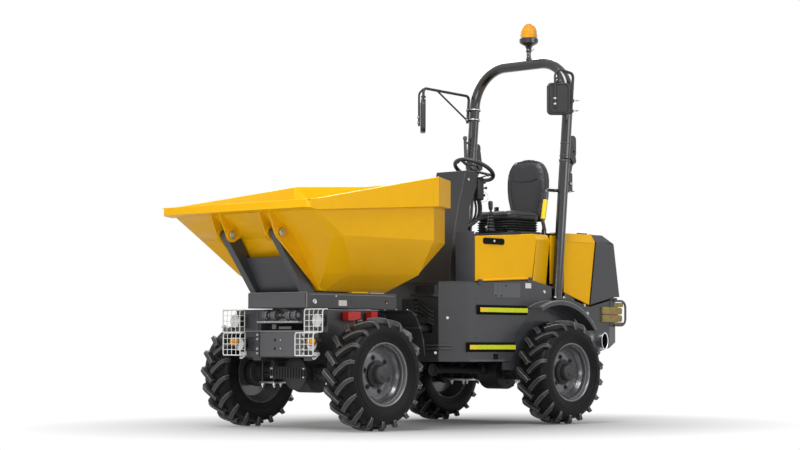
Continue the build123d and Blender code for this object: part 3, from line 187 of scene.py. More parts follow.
finishes = {
    # colour, roughness, metallic, coat, mottle, grain scale, bump mm, dust, dust height, pebble scale
    "yellowPaint": ((0.760, 0.396, 0.002), 0.38, 0.0, 0.04, 0.10, 900, 0.10, 0.01, 1.3, 0),
    "blackPaint": ((0.038, 0.039, 0.044), 0.38, 0.0, 0.15, 0.25, 700, 0.14, 0.02, 1.1, 0),
    "barPaint": ((0.008, 0.0085, 0.010), 0.20, 0.0, 0.62, 0.15, 700, 0.10, 0.02, 1.1, 0),
    "motorGrey": ((0.075, 0.076, 0.080), 0.26, 0.2, 0.5, 0.60, 300, 0.30, 0.02, 1.1, 0),
    # bluish grey painted on faces in shade, cancelling the yellow light bounced from the skip
    "shadeGrey": ((0.070, 0.078, 0.098), 0.50, 0.0, 0.0, 0.20, 700, 0.14, 0.0, 1.1, 0),
    # light grey painted along edges, folds and bars as highlights
    "edgeBright": ((0.300, 0.300, 0.310), 0.40, 0.0, 0.0, 0.20, 700, 0.10, 0.02, 1.1, 0),
    "panelGrey": ((0.074, 0.076, 0.082), 0.42, 0.0, 0.15, 0.25, 700, 0.14, 0.06, 1.1, 0),
    "castBlack": ((0.020, 0.020, 0.022), 0.52, 0.0, 0.0, 0.40, 260, 0.60, 0.10, 0.9, 0),
    "glossBlack": ((0.014, 0.014, 0.015), 0.24, 0.0, 0.4, 0.30, 300, 0.20, 0.03, 0.9, 0),
    "limeYellow": ((0.800, 0.560, 0.020), 0.42, 0.0, 0.1, 0.10, 900, 0.10, 0.05, 1.2, 0),
    "deepBlack": ((0.006, 0.006, 0.006), 0.80, 0.0, 0.0, 0.10, 300, 0.20, 0.00, 0.9, 0),
    "limePaint": ((0.560, 0.610, 0.012), 0.45, 0.0, 0.1, 0.10, 900, 0.10, 0.05, 1.2, 0),
    "greyPlastic": ((0.046, 0.047, 0.052), 0.46, 0.0, 0.0, 0.14, 500, 0.20, 0.05, 1.1, 900),
    "blackPlastic": ((0.016, 0.016, 0.018), 0.45, 0.0, 0.0, 0.20, 500, 0.20, 0.05, 1.1, 900),
    "blackRubber": ((0.018, 0.018, 0.019), 0.62, 0.0, 0.0, 0.25, 350, 0.30, 0.10, 0.9, 0),
    "blackVinyl": ((0.022, 0.0225, 0.025), 0.42, 0.0, 0.0, 0.15, 500, 0.35, 0.02, 1.0, 620),
    # one tyre rubber in three tones: darkest carcass as painted shade, lighter lugs, light grey lug edges as
    # painted highlights
    "tyreRubber": ((0.0045, 0.0045, 0.0050), 0.42, 0.0, 0.0, 0.60, 300, 0.50, 0.02, 0.8, 0),
    "lugRubber": ((0.026, 0.026, 0.027), 0.36, 0.0, 0.0, 0.80, 220, 0.60, 0.03, 0.8, 0),
    "paintedLugHighlight": ((0.135, 0.135, 0.137), 0.42, 0.0, 0.0, 0.80, 120, 0.30, 0.05, 0.8, 0),
    "rimPaint": ((0.130, 0.131, 0.138), 0.22, 0.30, 0.4, 0.15, 600, 0.10, 0.01, 0.8, 0),
    "chromeSteel": ((0.720, 0.725, 0.740), 0.16, 1.0, 0.0, 0.05, 300, 0.04, 0.02, 0.9, 0),
    "zincSteel": ((0.560, 0.560, 0.545), 0.38, 1.0, 0.0, 0.25, 240, 0.12, 0.05, 0.9, 0),
    "whiteWire": ((0.700, 0.700, 0.680), 0.40, 0.0, 0.1, 0.12, 600, 0.08, 0.10, 1.0, 0),
    "redPaint": ((0.560, 0.020, 0.016), 0.40, 0.0, 0.2, 0.12, 700, 0.10, 0.04, 1.0, 0),
    "labelAndHighlightWhite": ((0.700, 0.700, 0.690), 0.50, 0.0, 0.0, 0.05, 600, 0.04, 0.04, 1.0, 0),
    "amberPlastic": ((0.640, 0.285, 0.001), 0.16, 0.0, 0.4, 0.12, 400, 0.10, 0.02, 1.0, 0),
    "oliveLamp": ((0.210, 0.150, 0.008), 0.36, 0.0, 0.4, 1.60, 300, 0.30, 0.10, 1.0, 0),
    # the reflector's silver is made pale and mostly diffuse, a painted bright reflection
    "lampSilverAndReflection": ((0.780, 0.790, 0.800), 0.24, 0.25, 0.0, 0.15, 120, 0.40, 0.02, 1.0, 0),
    "mirrorGlass": ((0.820, 0.840, 0.850), 0.04, 1.0, 0.0, 0.02, 60, 0.01, 0.01, 1.0, 0),
}
specular = {"yellowPaint": 0.14, "limePaint": 0.2, "limeYellow": 0.2, "amberPlastic": 0.35, "tyreRubber": 0.12,
            "lugRubber": 0.36, "deepBlack": 0.1}
materials = {}
for name, (colour, roughness, metallic, coat, mottle, grainScale, bump, dust, dustHeight,
           pebbles) in finishes.items():
    material, tree, shader = newMaterial(name)
    group = tree.nodes.new("ShaderNodeGroup")
    group.node_tree = skin
    for key, value in (("Colour", (*colour, 1)), ("Mottle", mottle), ("Roughness", roughness),
                       ("Grain Scale", grainScale), ("Dust", dust), ("Dust Height", dustHeight)):
        group.inputs[key].default_value = value
    tree.links.new(group.outputs["Colour"], shader.inputs["Base Color"])
    tree.links.new(group.outputs["Roughness"], shader.inputs["Roughness"])
    shader.inputs["Metallic"].default_value = metallic
    shader.inputs["Coat Weight"].default_value = coat
    shader.inputs["Coat Roughness"].default_value = 0.12
    shader.inputs["Specular IOR Level"].default_value = specular.get(name, 0.4)
    heightSource = group.outputs["Height"]
    if pebbles:
        grainGroup = tree.nodes.new("ShaderNodeGroup")
        grainGroup.node_tree = pebble
        grainGroup.inputs["Scale"].default_value = pebbles
        heightSource = grainGroup.outputs["Height"]
    bumpNode = addNode(tree, "Bump", {"Height": heightSource}, Strength=0.6, Distance=bump / 1000)
    tree.links.new(bumpNode.outputs[0], shader.inputs["Normal"])
    materials[name] = material

# the lens is pale and only partly clear, painting in its bright look in place of reflections
glass, tree, shader = newMaterial("lensGlass")
for key, value in (("Base Color", (0.93, 0.95, 0.97, 1)), ("Transmission Weight", 0.35), ("IOR", 1.45),
                   ("Metallic", 0.0)):
    shader.inputs[key].default_value = value
place = addNode(tree, "TexCoord").outputs["Object"]
ribs = addNode(tree, "TexWave", {"Vector": place}, Scale=48.0, Distortion=0.0, bands_direction="X")
bumpNode = addNode(tree, "Bump", {"Height": ribs.outputs["Fac"]}, Strength=0.4, Distance=0.0006)
tree.links.new(bumpNode.outputs[0], shader.inputs["Normal"])
smudge = addNode(tree, "TexNoise", {"Vector": place}, Scale=22.0, Detail=3.0).outputs["Fac"]
tree.links.new(mathNode(tree, "MULTIPLY_ADD", smudge, 0.12, 0.04), shader.inputs["Roughness"])
materials["lensGlass"] = glass
print("materials made:", len(materials))


# each helper below adds one shape to a mesh
bevelAbove = 28  # degrees between two faces from which their edge is rounded
weldWithin = 1e-5


def finishPiece(name, bm, finish, body, replaced=(), bevel=0.0, smooth=35):
    mesh = bpy.data.meshes.new(name)
    bm.to_mesh(mesh)
    bm.free()
    piece = bpy.data.objects.new(name, mesh)
    bpy.context.collection.objects.link(piece)
    kinds = finish if isinstance(finish, (list, tuple)) else [finish]
    for kind in kinds:
        mesh.materials.append(materials[kind])
    mesh.polygons.foreach_set("use_smooth", [True] * len(mesh.polygons))
    mesh.set_sharp_from_angle(angle=radians(smooth))
    if bevel:
        rounding = piece.modifiers.new("edges", "BEVEL")
        rounding.width = bevel
        rounding.segments = 2
        rounding.limit_method = "ANGLE"
        rounding.angle_limit = radians(bevelAbove)
        rounding.use_clamp_overlap = False
        rounding.harden_normals = True
    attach(piece, body)
    if replaced:
        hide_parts(*replaced)
    return piece


def softCopy(node, name, finish, bevel):
    bm = bmesh.new()
    bm.from_mesh(nodes[node].data)
    bmesh.ops.remove_doubles(bm, verts=bm.verts, dist=weldWithin)
    flat = 0.02 if node == "skip" else 1.0  # the skip's slightly twisted panels keep their own triangles
    bmesh.ops.dissolve_limit(bm, angle_limit=radians(flat), verts=bm.verts, edges=bm.edges)
    return finishPiece(name, bm, finish, nodes[node]["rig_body"], (node,), bevel)


def edgesAt(verts):
    # every edge at the given vertices once, in the same order each time
    return list(dict.fromkeys(edge for vert in verts for edge in vert.link_edges))


def paintFaces(verts, slot):
    for face in {f for v in verts for f in v.link_faces}:
        face.material_index = slot


def addBox(bm, corner, opposite, turn=None, slot=0):
    verts = bmesh.ops.create_cube(bm, size=1.0)["verts"]
    spans = [sorted(pair) for pair in zip(corner, opposite)]
    size = [b - a for a, b in spans]
    centre = [(a + b) / 2 for a, b in spans]
    bmesh.ops.scale(bm, vec=size, verts=verts)
    bmesh.ops.translate(bm, vec=centre, verts=verts)
    if turn:
        bmesh.ops.rotate(bm, cent=centre, matrix=turn, verts=verts)
    paintFaces(verts, slot)
    return verts


def addCylinder(bm, start, end, radius, radiusEnd=None, sides=24, slot=0):
    start, end = Vector(start), Vector(end)
    run = end - start
    verts = bmesh.ops.create_cone(bm, cap_ends=True, segments=sides, radius1=radius,
                                  radius2=radius if radiusEnd is None else radiusEnd, depth=run.length)["verts"]
    turn = Vector((0, 0, 1)).rotation_difference(run).to_matrix()
    bmesh.ops.rotate(bm, cent=(0, 0, 0), matrix=turn, verts=verts)
    bmesh.ops.translate(bm, vec=(start + end) / 2, verts=verts)
    paintFaces(verts, slot)
    return verts


def addSpin(bm, profile, centre, axis, side=1, steps=64, slot=0):
    # the profile is pairs of distance along the axis and radius; one that ends on the axis stays open
    axis = Vector(axis).normalized()
    across = Vector((0, 0, 1)) if abs(axis.z) < 0.9 else Vector((1, 0, 0))
    across = (across - axis * across.dot(axis)).normalized()
    verts = [bm.verts.new(Vector(centre) + axis * along * side + across * radius) for along, radius in profile]
    pairs = list(zip(verts, verts[1:])) + ([(verts[-1], verts[0])] if profile[-1][1] else [])
    edges = [bm.edges.new(pair) for pair in pairs]
    before = set(bm.faces)
    bmesh.ops.spin(bm, geom=verts + edges, cent=centre, axis=axis, angle=2 * pi, steps=steps, use_merge=True,
                   use_duplicate=False)
    faces = [f for f in bm.faces if f not in before]
    bmesh.ops.remove_doubles(bm, verts=list({v for f in faces for v in f.verts}), dist=1e-6)
    faces = [f for f in bm.faces if f not in before]
    for face in faces:
        face.material_index = slot
    bmesh.ops.recalc_face_normals(bm, faces=faces)
    return faces


def addPipe(bm, points, radius, bend=0.03, sides=3, slot=0):
    curve = bpy.data.curves.new("pipe", "CURVE")
    curve.dimensions = "3D"
    curve.bevel_depth = radius
    curve.bevel_resolution = sides
    curve.use_fill_caps = True
    spline = curve.splines.new("BEZIER")
    corners = [Vector(p) for p in points]
    knots = [(corners[0], corners[0], corners[0])]
    for before, corner, after in zip(corners, corners[1:], corners[2:]):
        back, ahead = before - corner, after - corner
        reach = min(bend, back.length / 2.2, ahead.length / 2.2)
        start, end = corner + back.normalized() * reach, corner + ahead.normalized() * reach
        knots.append((start, start, start.lerp(corner, 0.56)))
        knots.append((end, end.lerp(corner, 0.56), end))
    knots.append((corners[-1], corners[-1], corners[-1]))
    spline.bezier_points.add(len(knots) - 1)
    for knot, (at, left, right) in zip(spline.bezier_points, knots):
        knot.handle_left_type = knot.handle_right_type = "FREE"
        knot.co, knot.handle_left, knot.handle_right = at, left, right
    spline.resolution_u = 5
    holder = bpy.data.objects.new("pipe", curve)
    bpy.context.collection.objects.link(holder)
    mesh = bpy.data.meshes.new_from_object(holder.evaluated_get(bpy.context.evaluated_depsgraph_get()))
    before = set(bm.faces)
    bm.from_mesh(mesh)
    for face in set(bm.faces) - before:
        face.material_index = slot
    bpy.data.objects.remove(holder)
    bpy.data.curves.remove(curve)
    bpy.data.meshes.remove(mesh)


def addBolt(bm, at, axis, size, tall, slot=0):
    washer = 0.0025
    at, axis = Vector(at), Vector(axis).normalized()
    addCylinder(bm, at, at + axis * washer, size * 1.25, sides=20, slot=slot)
    addCylinder(bm, at + axis * washer, at + axis * tall, size, sides=6, slot=slot)


def addBolts(bm, places, axis, size, tall, slot=0):
    for place in places:
        addBolt(bm, place, axis, size, tall, slot)


def addPlate(bm, corner, opposite, rounding, slot=0, axis=0, segments=5):
    # a box with the edges along one axis rounded
    verts = addBox(bm, corner, opposite, slot=slot)
    edges = {e for v in verts for e in v.link_edges}
    run = [e for e in edges if abs((e.verts[0].co - e.verts[1].co).normalized()[axis]) > 0.99]
    bmesh.ops.bevel(bm, geom=run, offset=rounding, segments=segments, profile=0.5, affect="EDGES", material=-1)


def band(foot, inner, top, outer):
    # profile of a raised ring: half width and radius at its foot and at its top
    return [(-foot, inner), (-top, outer), (top, outer), (foot, inner)]


print("helpers ready")

# wheels, in metres
wheel = {
    "track": 1.252, "axles": {"front": -1.181, "rear": 0.832}, "radius": 0.39,
    "lugs": 18, "lugHalf": 0.0145, "lugFoot": 0.02, "bolts": 6, "boltRing": 0.118,
    # across, radius from the bead over the sidewall to the middle of the tread
    "carcass": [(0.104, 0.2155), (0.113, 0.219), (0.1165, 0.226), (0.117, 0.234), (0.1215, 0.25),
                (0.1265, 0.27), (0.1285, 0.29), (0.1275, 0.308), (0.124, 0.325), (0.116, 0.339), (0.102, 0.348),
                (0.08, 0.352), (0.04, 0.3545), (0.0, 0.355)],
    # across, radius at the lug's top, turn ahead of its inner end
    "lugLine": [(0.002, 0.3895, 0.0), (0.022, 0.3895, 0.052), (0.046, 0.3892, 0.106), (0.072, 0.388, 0.158),
                (0.097, 0.384, 0.202), (0.116, 0.3755, 0.232), (0.1265, 0.36, 0.25), (0.1315, 0.34, 0.262),
                (0.1322, 0.323, 0.27)],
    "rim": [(0.0, 0.214), (0.06, 0.214), (0.094, 0.2145), (0.104, 0.2175), (0.1085, 0.2235), (0.1125, 0.2225),
            (0.1135, 0.216), (0.11, 0.2095), (0.1, 0.205), (0.088, 0.2035), (0.084, 0.1995), (0.064, 0.195),
            (0.052, 0.19), (0.04, 0.18), (0.028, 0.1745), (0.02, 0.17), (0.0205, 0.158), (0.0245, 0.146),
            (0.025, 0.1), (0.0215, 0.094), (0.0215, 0.0), (-0.01, 0.0), (-0.01, 0.168), (-0.06, 0.19),
            (-0.1, 0.205), (-0.11, 0.2095), (-0.1135, 0.216), (-0.1125, 0.2225), (-0.1085, 0.2235),
            (-0.104, 0.2175), (-0.094, 0.2145)],
    "hub": [(0.02, 0.0), (0.02, 0.09), (0.04, 0.0895), (0.0445, 0.086), (0.0455, 0.068), (0.05, 0.064),
            (0.086, 0.0615), (0.093, 0.058), (0.098, 0.05), (0.1, 0.03), (0.106, 0.026), (0.1075, 0.012),
            (0.1075, 0.0)],
}


def makeLug(bm, half, turn):
    rows = wheel["lugLine"]
    last = None
    for step, (across, radius, ahead) in enumerate(rows):
        angle = turn + ahead
        deep = 0.04 if step < 6 else 0.02
        if step in (0, len(rows) - 1):
            deep *= 0.9
        corners = []
        # the bar's width lies square to its run, so it turns with the line
        before, after = rows[max(step - 1, 0)], rows[min(step + 1, len(rows) - 1)]
        runX = (after[0] - before[0]) * half
        runT = (after[2] - before[2]) * 0.375
        size = hypot(runX, runT) or 1.0
        crossX, crossT = -runT / size, runX / size
        outX, outR = (0.0, 1.0) if step < 4 else ((0.35, 0.94), (0.62, 0.78), (0.86, 0.51), (0.96, 0.28),
                                                  (0.97, 0.24))[step - 4]
        for sideways, depth in ((-1, deep), (1, deep), (1, 0), (-1, 0)):
            wide = wheel["lugFoot"] if depth else wheel["lugHalf"]
            if step >= 7:
                wide *= 0.85
            x = across * half + (crossX * sideways * wide if step < 6 else 0) - outX * half * depth
            r = radius - outR * depth
            shift = (crossT if step < 6 else half) * sideways * wide / 0.38
            corners.append(Vector((x, -cos(angle + shift) * r, sin(angle + shift) * r)))
        if last is None:
            last = bm.faces.new([bm.verts.new(c) for c in corners])
        else:
            made = bmesh.ops.extrude_face_region(bm, geom=[last])
            top = [f for f in made["geom"] if isinstance(f, bmesh.types.BMFace)][0]
            if step > 1:
                bmesh.ops.delete(bm, geom=[last], context="FACES_ONLY")
            for vert, corner in zip(top.verts, corners):
                vert.co = corner
            last = top


def makeTyre(name, side, axle, body, node):
    bm = bmesh.new()
    for half, offset in ((1, 0.0), (-1, 0.5)):
        makeLug(bm, half, offset * 2 * pi / wheel["lugs"])
    bmesh.ops.recalc_face_normals(bm, faces=bm.faces)
    edges = [e for e in bm.edges if e.is_manifold and e.calc_face_angle(0) > radians(40)]
    for face in bm.faces:
        face.material_index = 1
    bevelled = bmesh.ops.bevel(bm, geom=edges, offset=0.0034, segments=1, profile=0.5, affect="EDGES",
                               material=-1, clamp_overlap=True)
    # the bevelled lug edges get the light grey: painted highlights
    for face in bevelled["faces"]:
        face.material_index = 2
    geom = list(bm.verts) + list(bm.edges) + list(bm.faces)
    for turn in range(1, wheel["lugs"]):
        copied = bmesh.ops.duplicate(bm, geom=geom)["geom"]
        verts = [v for v in copied if isinstance(v, bmesh.types.BMVert)]
        bmesh.ops.rotate(bm, cent=(0, 0, 0), matrix=Matrix.Rotation(turn * 2 * pi / wheel["lugs"], 3, "X"),
                         verts=verts)
    half = wheel["carcass"]
    outline = half + [(-across, radius) for across, radius in reversed(half[:-1])]
    addSpin(bm, outline, (0, 0, 0), (1, 0, 0), steps=96)
    for sideways in (-1, 1):  # moulded rings on the sidewall
        for across, radius, thick in ((0.1245, 0.26, 0.0016), (0.1297, 0.281, 0.0012), (0.12, 0.244, 0.0012)):
            swell = thick * 1.6
            ring = [(across - 0.001 + swell * sin(a), radius + swell * cos(a)) for a in (0, 0.8, 1.57, 2.34,
                    3.14)]
            addSpin(bm, ring, (0, 0, 0), (1, 0, 0), sideways, steps=72)
    bmesh.ops.translate(bm, vec=(side * wheel["track"] / 2, axle, wheel["radius"]), verts=bm.verts)
    # the carcass, sidewall included, is far darker than the lugs: painted shade between the lugs; the lug edges
    # are light grey as painted highlights
    return finishPiece(name, bm, ["tyreRubber", "lugRubber", "paintedLugHighlight"], body, (node,), smooth=32)


def makeRim(name, side, axle, body, node):
    bm = bmesh.new()
    addSpin(bm, wheel["rim"], (0, 0, 0), (1, 0, 0), side, steps=96)
    addSpin(bm, wheel["hub"], (0, 0, 0), (1, 0, 0), side, steps=64, slot=1)
    for number in range(wheel["bolts"]):
        turn = Matrix.Rotation((number + 0.25) * 2 * pi / wheel["bolts"], 3, "X")
        at = turn @ Vector((side * 0.0245, 0, wheel["boltRing"]))
        # a dark raised ring and disc round each bolt stand in for its sunk pocket: painted shade in the pocket
        addSpin(bm, [(0, 0.013), (0.0035, 0.014), (0.0042, 0.0165), (0.003, 0.019), (0, 0.02)], at,
                (side, 0, 0), steps=28, slot=1)
        addBolt(bm, at, (side, 0, 0), 0.01, 0.0125, slot=1)
        for reach, radius, sides in ((0.0012, 0.0138, 28), (0.021, 0.0052, 14)):
            addCylinder(bm, at, at + Vector((side * reach, 0, 0)), radius, sides=sides, slot=1)
    for number in range(12):  # socket screws round the drive cap
        turn = Matrix.Rotation(number * 2 * pi / 12, 3, "X")
        at = turn @ Vector((side * 0.0435, 0, 0.0775))
        addBolt(bm, at, (side, 0, 0), 0.0046, 0.0065, slot=1)
    addSpin(bm, [(0.002, 0.1965), (0.008, 0.196), (0.0085, 0.1945), (0.002, 0.194)], (side * 0.072, 0, 0),
            (side, 0, 0), steps=8, slot=1)
    bmesh.ops.translate(bm, vec=(side * wheel["track"] / 2, axle, wheel["radius"]), verts=bm.verts)
    return finishPiece(name, bm, ["rimPaint", "castBlack", "zincSteel"], body, (node,), smooth=30)


for end, axle in wheel["axles"].items():
    for sideName, side in (("left", 1), ("right", -1)):
        where = f"{end}_{sideName}"
        makeTyre(f"tyre{end.title()}{sideName.title()}", side, axle, f"wheel_{where}", f"tyre_{where}")
        makeRim(f"rim{end.title()}{sideName.title()}", side, axle, f"wheel_{where}", f"rim_{where}")
print("wheels made")


# plate work kept from the frame
softParts = {
    # node: new name, finish, bevel
    "skip": ("skipShell", "yellowPaint", 0.0025),
    "rear_frame": ("rearFrame", "blackPaint", 0.0022),
    "front_frame": ("frontFrame", "blackPaint", 0.0022),
    "turret_frame": ("turretFrame", "blackPaint", 0.0022),
    "turret_cover": ("turretCover", "greyPlastic", 0.003),
    "operator_platform": ("operatorPlatform", "blackPaint", 0.002),
    "bonnet_flanks": ("bonnetFlanks", "yellowPaint", 0.006),
    "rear_mudguards": ("rearMudguards", "blackPaint", 0.002),
    "front_mud_flaps": ("frontMudFlaps", "blackRubber", 0.0018),
    "left_door": ("leftDoor", "yellowPaint", 0.003),
    "right_door": ("rightDoor", "yellowPaint", 0.003),
    "engine_cover": ("engineCover", "yellowPaint", 0.007),
    "rear_cover": ("rearCover", "greyPlastic", 0.006),
    "console": ("consoleShell", "blackPlastic", 0.005),
    "engine_block": ("engineBlock", "castBlack", 0.006),
    "rops_posts": ("rollBarPosts", "barPaint", 0.002),
    "rops_hoop": ("rollBarHoop", "barPaint", 0.0015),
    "rear_axle": ("rearAxle", "castBlack", 0.004),
    "front_axle": ("frontAxle", "castBlack", 0.004),
    "hand_rails": ("handRails", "barPaint", 0.0),
    "slew_base_ring": ("slewBaseRing", "castBlack", 0.0015),
    "slew_top_ring": ("slewTopRing", "castBlack", 0.0015),
    "tip_pins": ("tipPins", "zincSteel", 0.002),
    "tip_ram_barrel": ("tipRamBarrel", "blackPaint", 0.0015),
    "tip_ram_stage": ("tipRamStage", "chromeSteel", 0.0008),
    "tip_ram_rod": ("tipRamRod", "chromeSteel", 0.0008),
    "steering_ram_barrel": ("steeringRamBarrel", "blackPaint", 0.0012),
    "steering_ram_rod": ("steeringRamRod", "chromeSteel", 0.0008),
    "steering_column": ("steeringColumn", "blackPlastic", 0.003),
}
for node, (name, finish, bevel) in softParts.items():
    softCopy(node, name, finish, bevel)
print("plate work softened:", len(softParts))


# nose and lamp cages
cage = {"wire": 0.0029, "half": 0.078, "wide": 0.089, "fold": 0.046, "back": -1.468, "across": 5, "up": 5,
        "bend": 0.02}
cages = {  # name: middle x, front y, middle z, node
    "upper": (0.42, -1.5555, 0.7565, "upper_lamp_guards"),
    "lower": (0.37, -1.5955, 0.595, "lower_lamp_guards"),
}


def makeCage(bm, midX, frontY, midZ, outer):
    half, wide, wire = cage["half"], cage["wide"], cage["wire"]
    fold = frontY + cage["fold"]
    spread = [-wide + 2 * wide * n / (cage["across"] - 1) for n in range(cage["across"])]
    for shift in spread:  # up the front and folded back over the top
        x = midX + shift
        low = midZ - half + (0.026 if shift * outer > wide * 0.9 else 0)
        thick = wire * (1.45 if abs(abs(shift) - wide) < 1e-6 else 0.8)
        addPipe(bm, [(x, fold, midZ + half), (x, frontY, midZ + half), (x, frontY, low)], thick, cage["bend"],
                2)
    rise = [-half + 2 * half * n / (cage["up"] - 1) for n in range(cage["up"])]
    for number, shift in enumerate(rise):  # across the front and folded back on the inner side
        z = midZ + shift
        inner, outerEnd = midX - outer * wide, midX + outer * (wide - (0.026 if number == 0 else 0))
        thick = wire * (1.45 if abs(abs(shift) - half) < 1e-6 else 0.8)
        addPipe(bm, [(inner, fold, z), (inner, frontY, z), (outerEnd, frontY, z)], thick, 0.01, 2)
    corner = [(midX + outer * (wide - 0.026), frontY, midZ - half), (midX + outer * wide, frontY, midZ - half),
              (midX + outer * wide, frontY, midZ - half + 0.026)]
    addPipe(bm, corner, wire * 1.45, 0.024, 2)
    inner = midX - outer * wide
    addPipe(bm, [(inner, fold, midZ - half), (inner, fold, midZ + half),
                 (midX + outer * wide, fold, midZ + half)], wire, 0.008, 2)
    for rise in (-0.045, 0.045):  # dark stays back to the lamp bracket
        addPipe(bm, [(inner, fold, midZ + rise), (inner, cage["back"], midZ + rise)], wire * 1.3, 0.008, 2,
                slot=1)


for level, (midX, frontY, midZ, node) in cages.items():
    bm = bmesh.new()
    for outer in (-1, 1):
        makeCage(bm, outer * midX, frontY, midZ, outer)
    finishPiece(f"{level}LampCages", bm, ["whiteWire", "blackPaint"], "front_chassis", (node,), smooth=40)

front, back = 1.524, 1.466  # distances ahead of the middle
bm = bmesh.new()
for midX, frontY, midZ, node in cages.values():
    for sideways in (-1, 1):
        at = (sideways * midX, 0, midZ)
        shell = [(back, 0.0), (back, 0.022), (back + 0.006, 0.034), (back + 0.022, 0.043),
                 (front - 0.012, 0.0455), (front - 0.006, 0.047), (front, 0.0462), (front, 0.0435),
                 (front - 0.006, 0.0425), (back + 0.02, 0.012), (back + 0.018, 0.0)]
        addSpin(bm, shell, at, (0, -1, 0), steps=48)
        ring = [(front - 0.0065, 0.0462), (front + 0.0008, 0.0466), (front + 0.0012, 0.0445),
                (front - 0.002, 0.0428), (front - 0.0065, 0.0428)]
        addSpin(bm, ring, at, (0, -1, 0), steps=48, slot=1)
        # reflector bowl in pale silver: a painted bright reflection
        bowl = [(back + 0.0215, 0.0), (back + 0.0225, 0.012), (back + 0.03, 0.028), (front - 0.0095, 0.0415),
                (front - 0.008, 0.0424), (back + 0.028, 0.0285), (back + 0.0205, 0.012), (back + 0.0195, 0.0)]
        addSpin(bm, bowl, at, (0, -1, 0), steps=48, slot=1)
        bulb = [(back + 0.022, 0.0), (back + 0.022, 0.007), (back + 0.038, 0.007), (back + 0.043, 0.0045),
                (back + 0.045, 0.0)]
        addSpin(bm, bulb, at, (0, -1, 0), steps=20, slot=2)
finishPiece("headLampBodies", bm, ["blackPlastic", "lampSilverAndReflection", "labelAndHighlightWhite"], "front_chassis",
            ("head_lamps",), smooth=40)

bm = bmesh.new()
for midX, frontY, midZ, node in cages.values():
    for sideways in (-1, 1):
        lens = [(front - 0.0075, 0.0), (front - 0.0075, 0.0427), (front - 0.0045, 0.0427),
                (front - 0.001, 0.03), (front + 0.0002, 0.015), (front + 0.0005, 0.0)]
        addSpin(bm, lens, (sideways * midX, 0, midZ), (0, -1, 0), steps=48)
finishPiece("headLampLenses", bm, "lensGlass", "front_chassis", smooth=40)

bm = bmesh.new()
for sideways in (-1, 1):
    at = (sideways * 0.392, 0, 0.612)
    addSpin(bm, [(1.466, 0.0), (1.466, 0.02), (1.526, 0.024), (1.532, 0.03), (1.536, 0.03), (1.537, 0.0)], at,
            (0, -1, 0), steps=32, slot=1)
    dome = [(1.536, 0.0), (1.536, 0.0285), (1.558, 0.028), (1.574, 0.0225), (1.582, 0.012), (1.584, 0.0)]
    addSpin(bm, dome, at, (0, -1, 0), steps=32)
    for row in range(4):
        y = 1.541 + row * 0.007
        addSpin(bm, [(y, 0.0275), (y + 0.001, 0.0292), (y + 0.002, 0.0275)], at, (0, -1, 0), steps=32)
finishPiece("frontIndicators", bm, ["amberPlastic", "blackPlastic"], "front_chassis", smooth=40)

# shackles, bolts, bar and studs on the head plate
bm = bmesh.new()
for sideways in (-1, 1):
    x = sideways * 0.372
    addPipe(bm, [(x - 0.014, -1.4635, 0.532), (x - 0.016, -1.5, 0.5), (x, -1.508, 0.492),
                 (x + 0.016, -1.5, 0.5), (x + 0.014, -1.4635, 0.532)], 0.0055, 0.014, 3)
    addCylinder(bm, (x - 0.026, -1.478, 0.526), (x + 0.026, -1.478, 0.526), 0.005, sides=14)
    addBox(bm, (x - 0.02, -1.492, 0.515), (x + 0.02, -1.4655, 0.54))
finishPiece("tieShackles", bm, "whiteWire", "front_chassis", bevel=0.0012)

bm = bmesh.new()
addBox(bm, (-0.214, -1.4675, 0.512), (0.214, -1.4655, 0.678))  # lighter face of the head plate
finishPiece("headPanel", bm, "panelGrey", "front_chassis", bevel=0.0008)

bm = bmesh.new()
for sideways in (-1, 1):
    x = sideways * 0.236
    addBox(bm, (x - 0.0175, -1.4725, 0.508), (x + 0.0175, -1.4655, 0.682))
    addBolts(bm, [(x, -1.4725, z) for z in (0.53, 0.56, 0.63, 0.66)], (0, -1, 0), 0.0075, 0.008, slot=1)
# a bolt in each ring at x 0; at x -0.06 a deep black disc stands for a hole, painted shade inside it
for x in (-0.06, 0.0):
    for z in (0.564, 0.624):
        addSpin(bm, [(1.467, 0.0072), (1.4705, 0.0078), (1.4705, 0.0115), (1.467, 0.0125)], (x, 0, z),
                (0, -1, 0), steps=24)
        if x > -0.01:
            addBolt(bm, (x, -1.4665, z), (0, -1, 0), 0.0065, 0.006, slot=1)
        else:
            addCylinder(bm, (x, -1.4685, z), (x, -1.4665, z), 0.0068, sides=20, slot=2)
# a bright metal line along the plate's upper edge: a painted highlight
addPipe(bm, [(-0.376, -1.464, 0.686), (0.376, -1.464, 0.686)], 0.0026, slot=1)  # bright upper edge
finishPiece("headPlateFittings", bm, ["blackPaint", "zincSteel", "deepBlack"], "front_chassis", bevel=0.0008)

# slewing motors: two pairs of drums over a bar; the bar and the drum ends are light grey, painted highlights
bm = bmesh.new()
motorLine = (-1.476, 0.7965)
drum = [(-0.024, 0.0), (-0.024, 0.024), (-0.021, 0.036), (-0.016, 0.04), (-0.01, 0.041), (-0.007, 0.036),
        (0.007, 0.036), (0.01, 0.041), (0.016, 0.04), (0.021, 0.036), (0.024, 0.024), (0.024, 0.0)]
for x in (-0.128, -0.042, 0.105, 0.165):
    addSpin(bm, drum, (x, *motorLine), (1, 0, 0), steps=40)
    addSpin(bm, [(0.024, 0.0), (0.027, 0.0), (0.027, 0.014), (0.024, 0.017)], (x, *motorLine), (1, 0, 0),
            steps=28, slot=2)
addCylinder(bm, (-0.105, *motorLine), (0.09, *motorLine), 0.015, sides=32)
for x in (-0.01, 0.03, 0.065):
    addSpin(bm, band(0.003, 0.015, 0.002, 0.024), (x, *motorLine), (1, 0, 0), steps=32)
addBox(bm, (-0.02, -1.469, 0.699), (0.105, -1.46, 0.718))
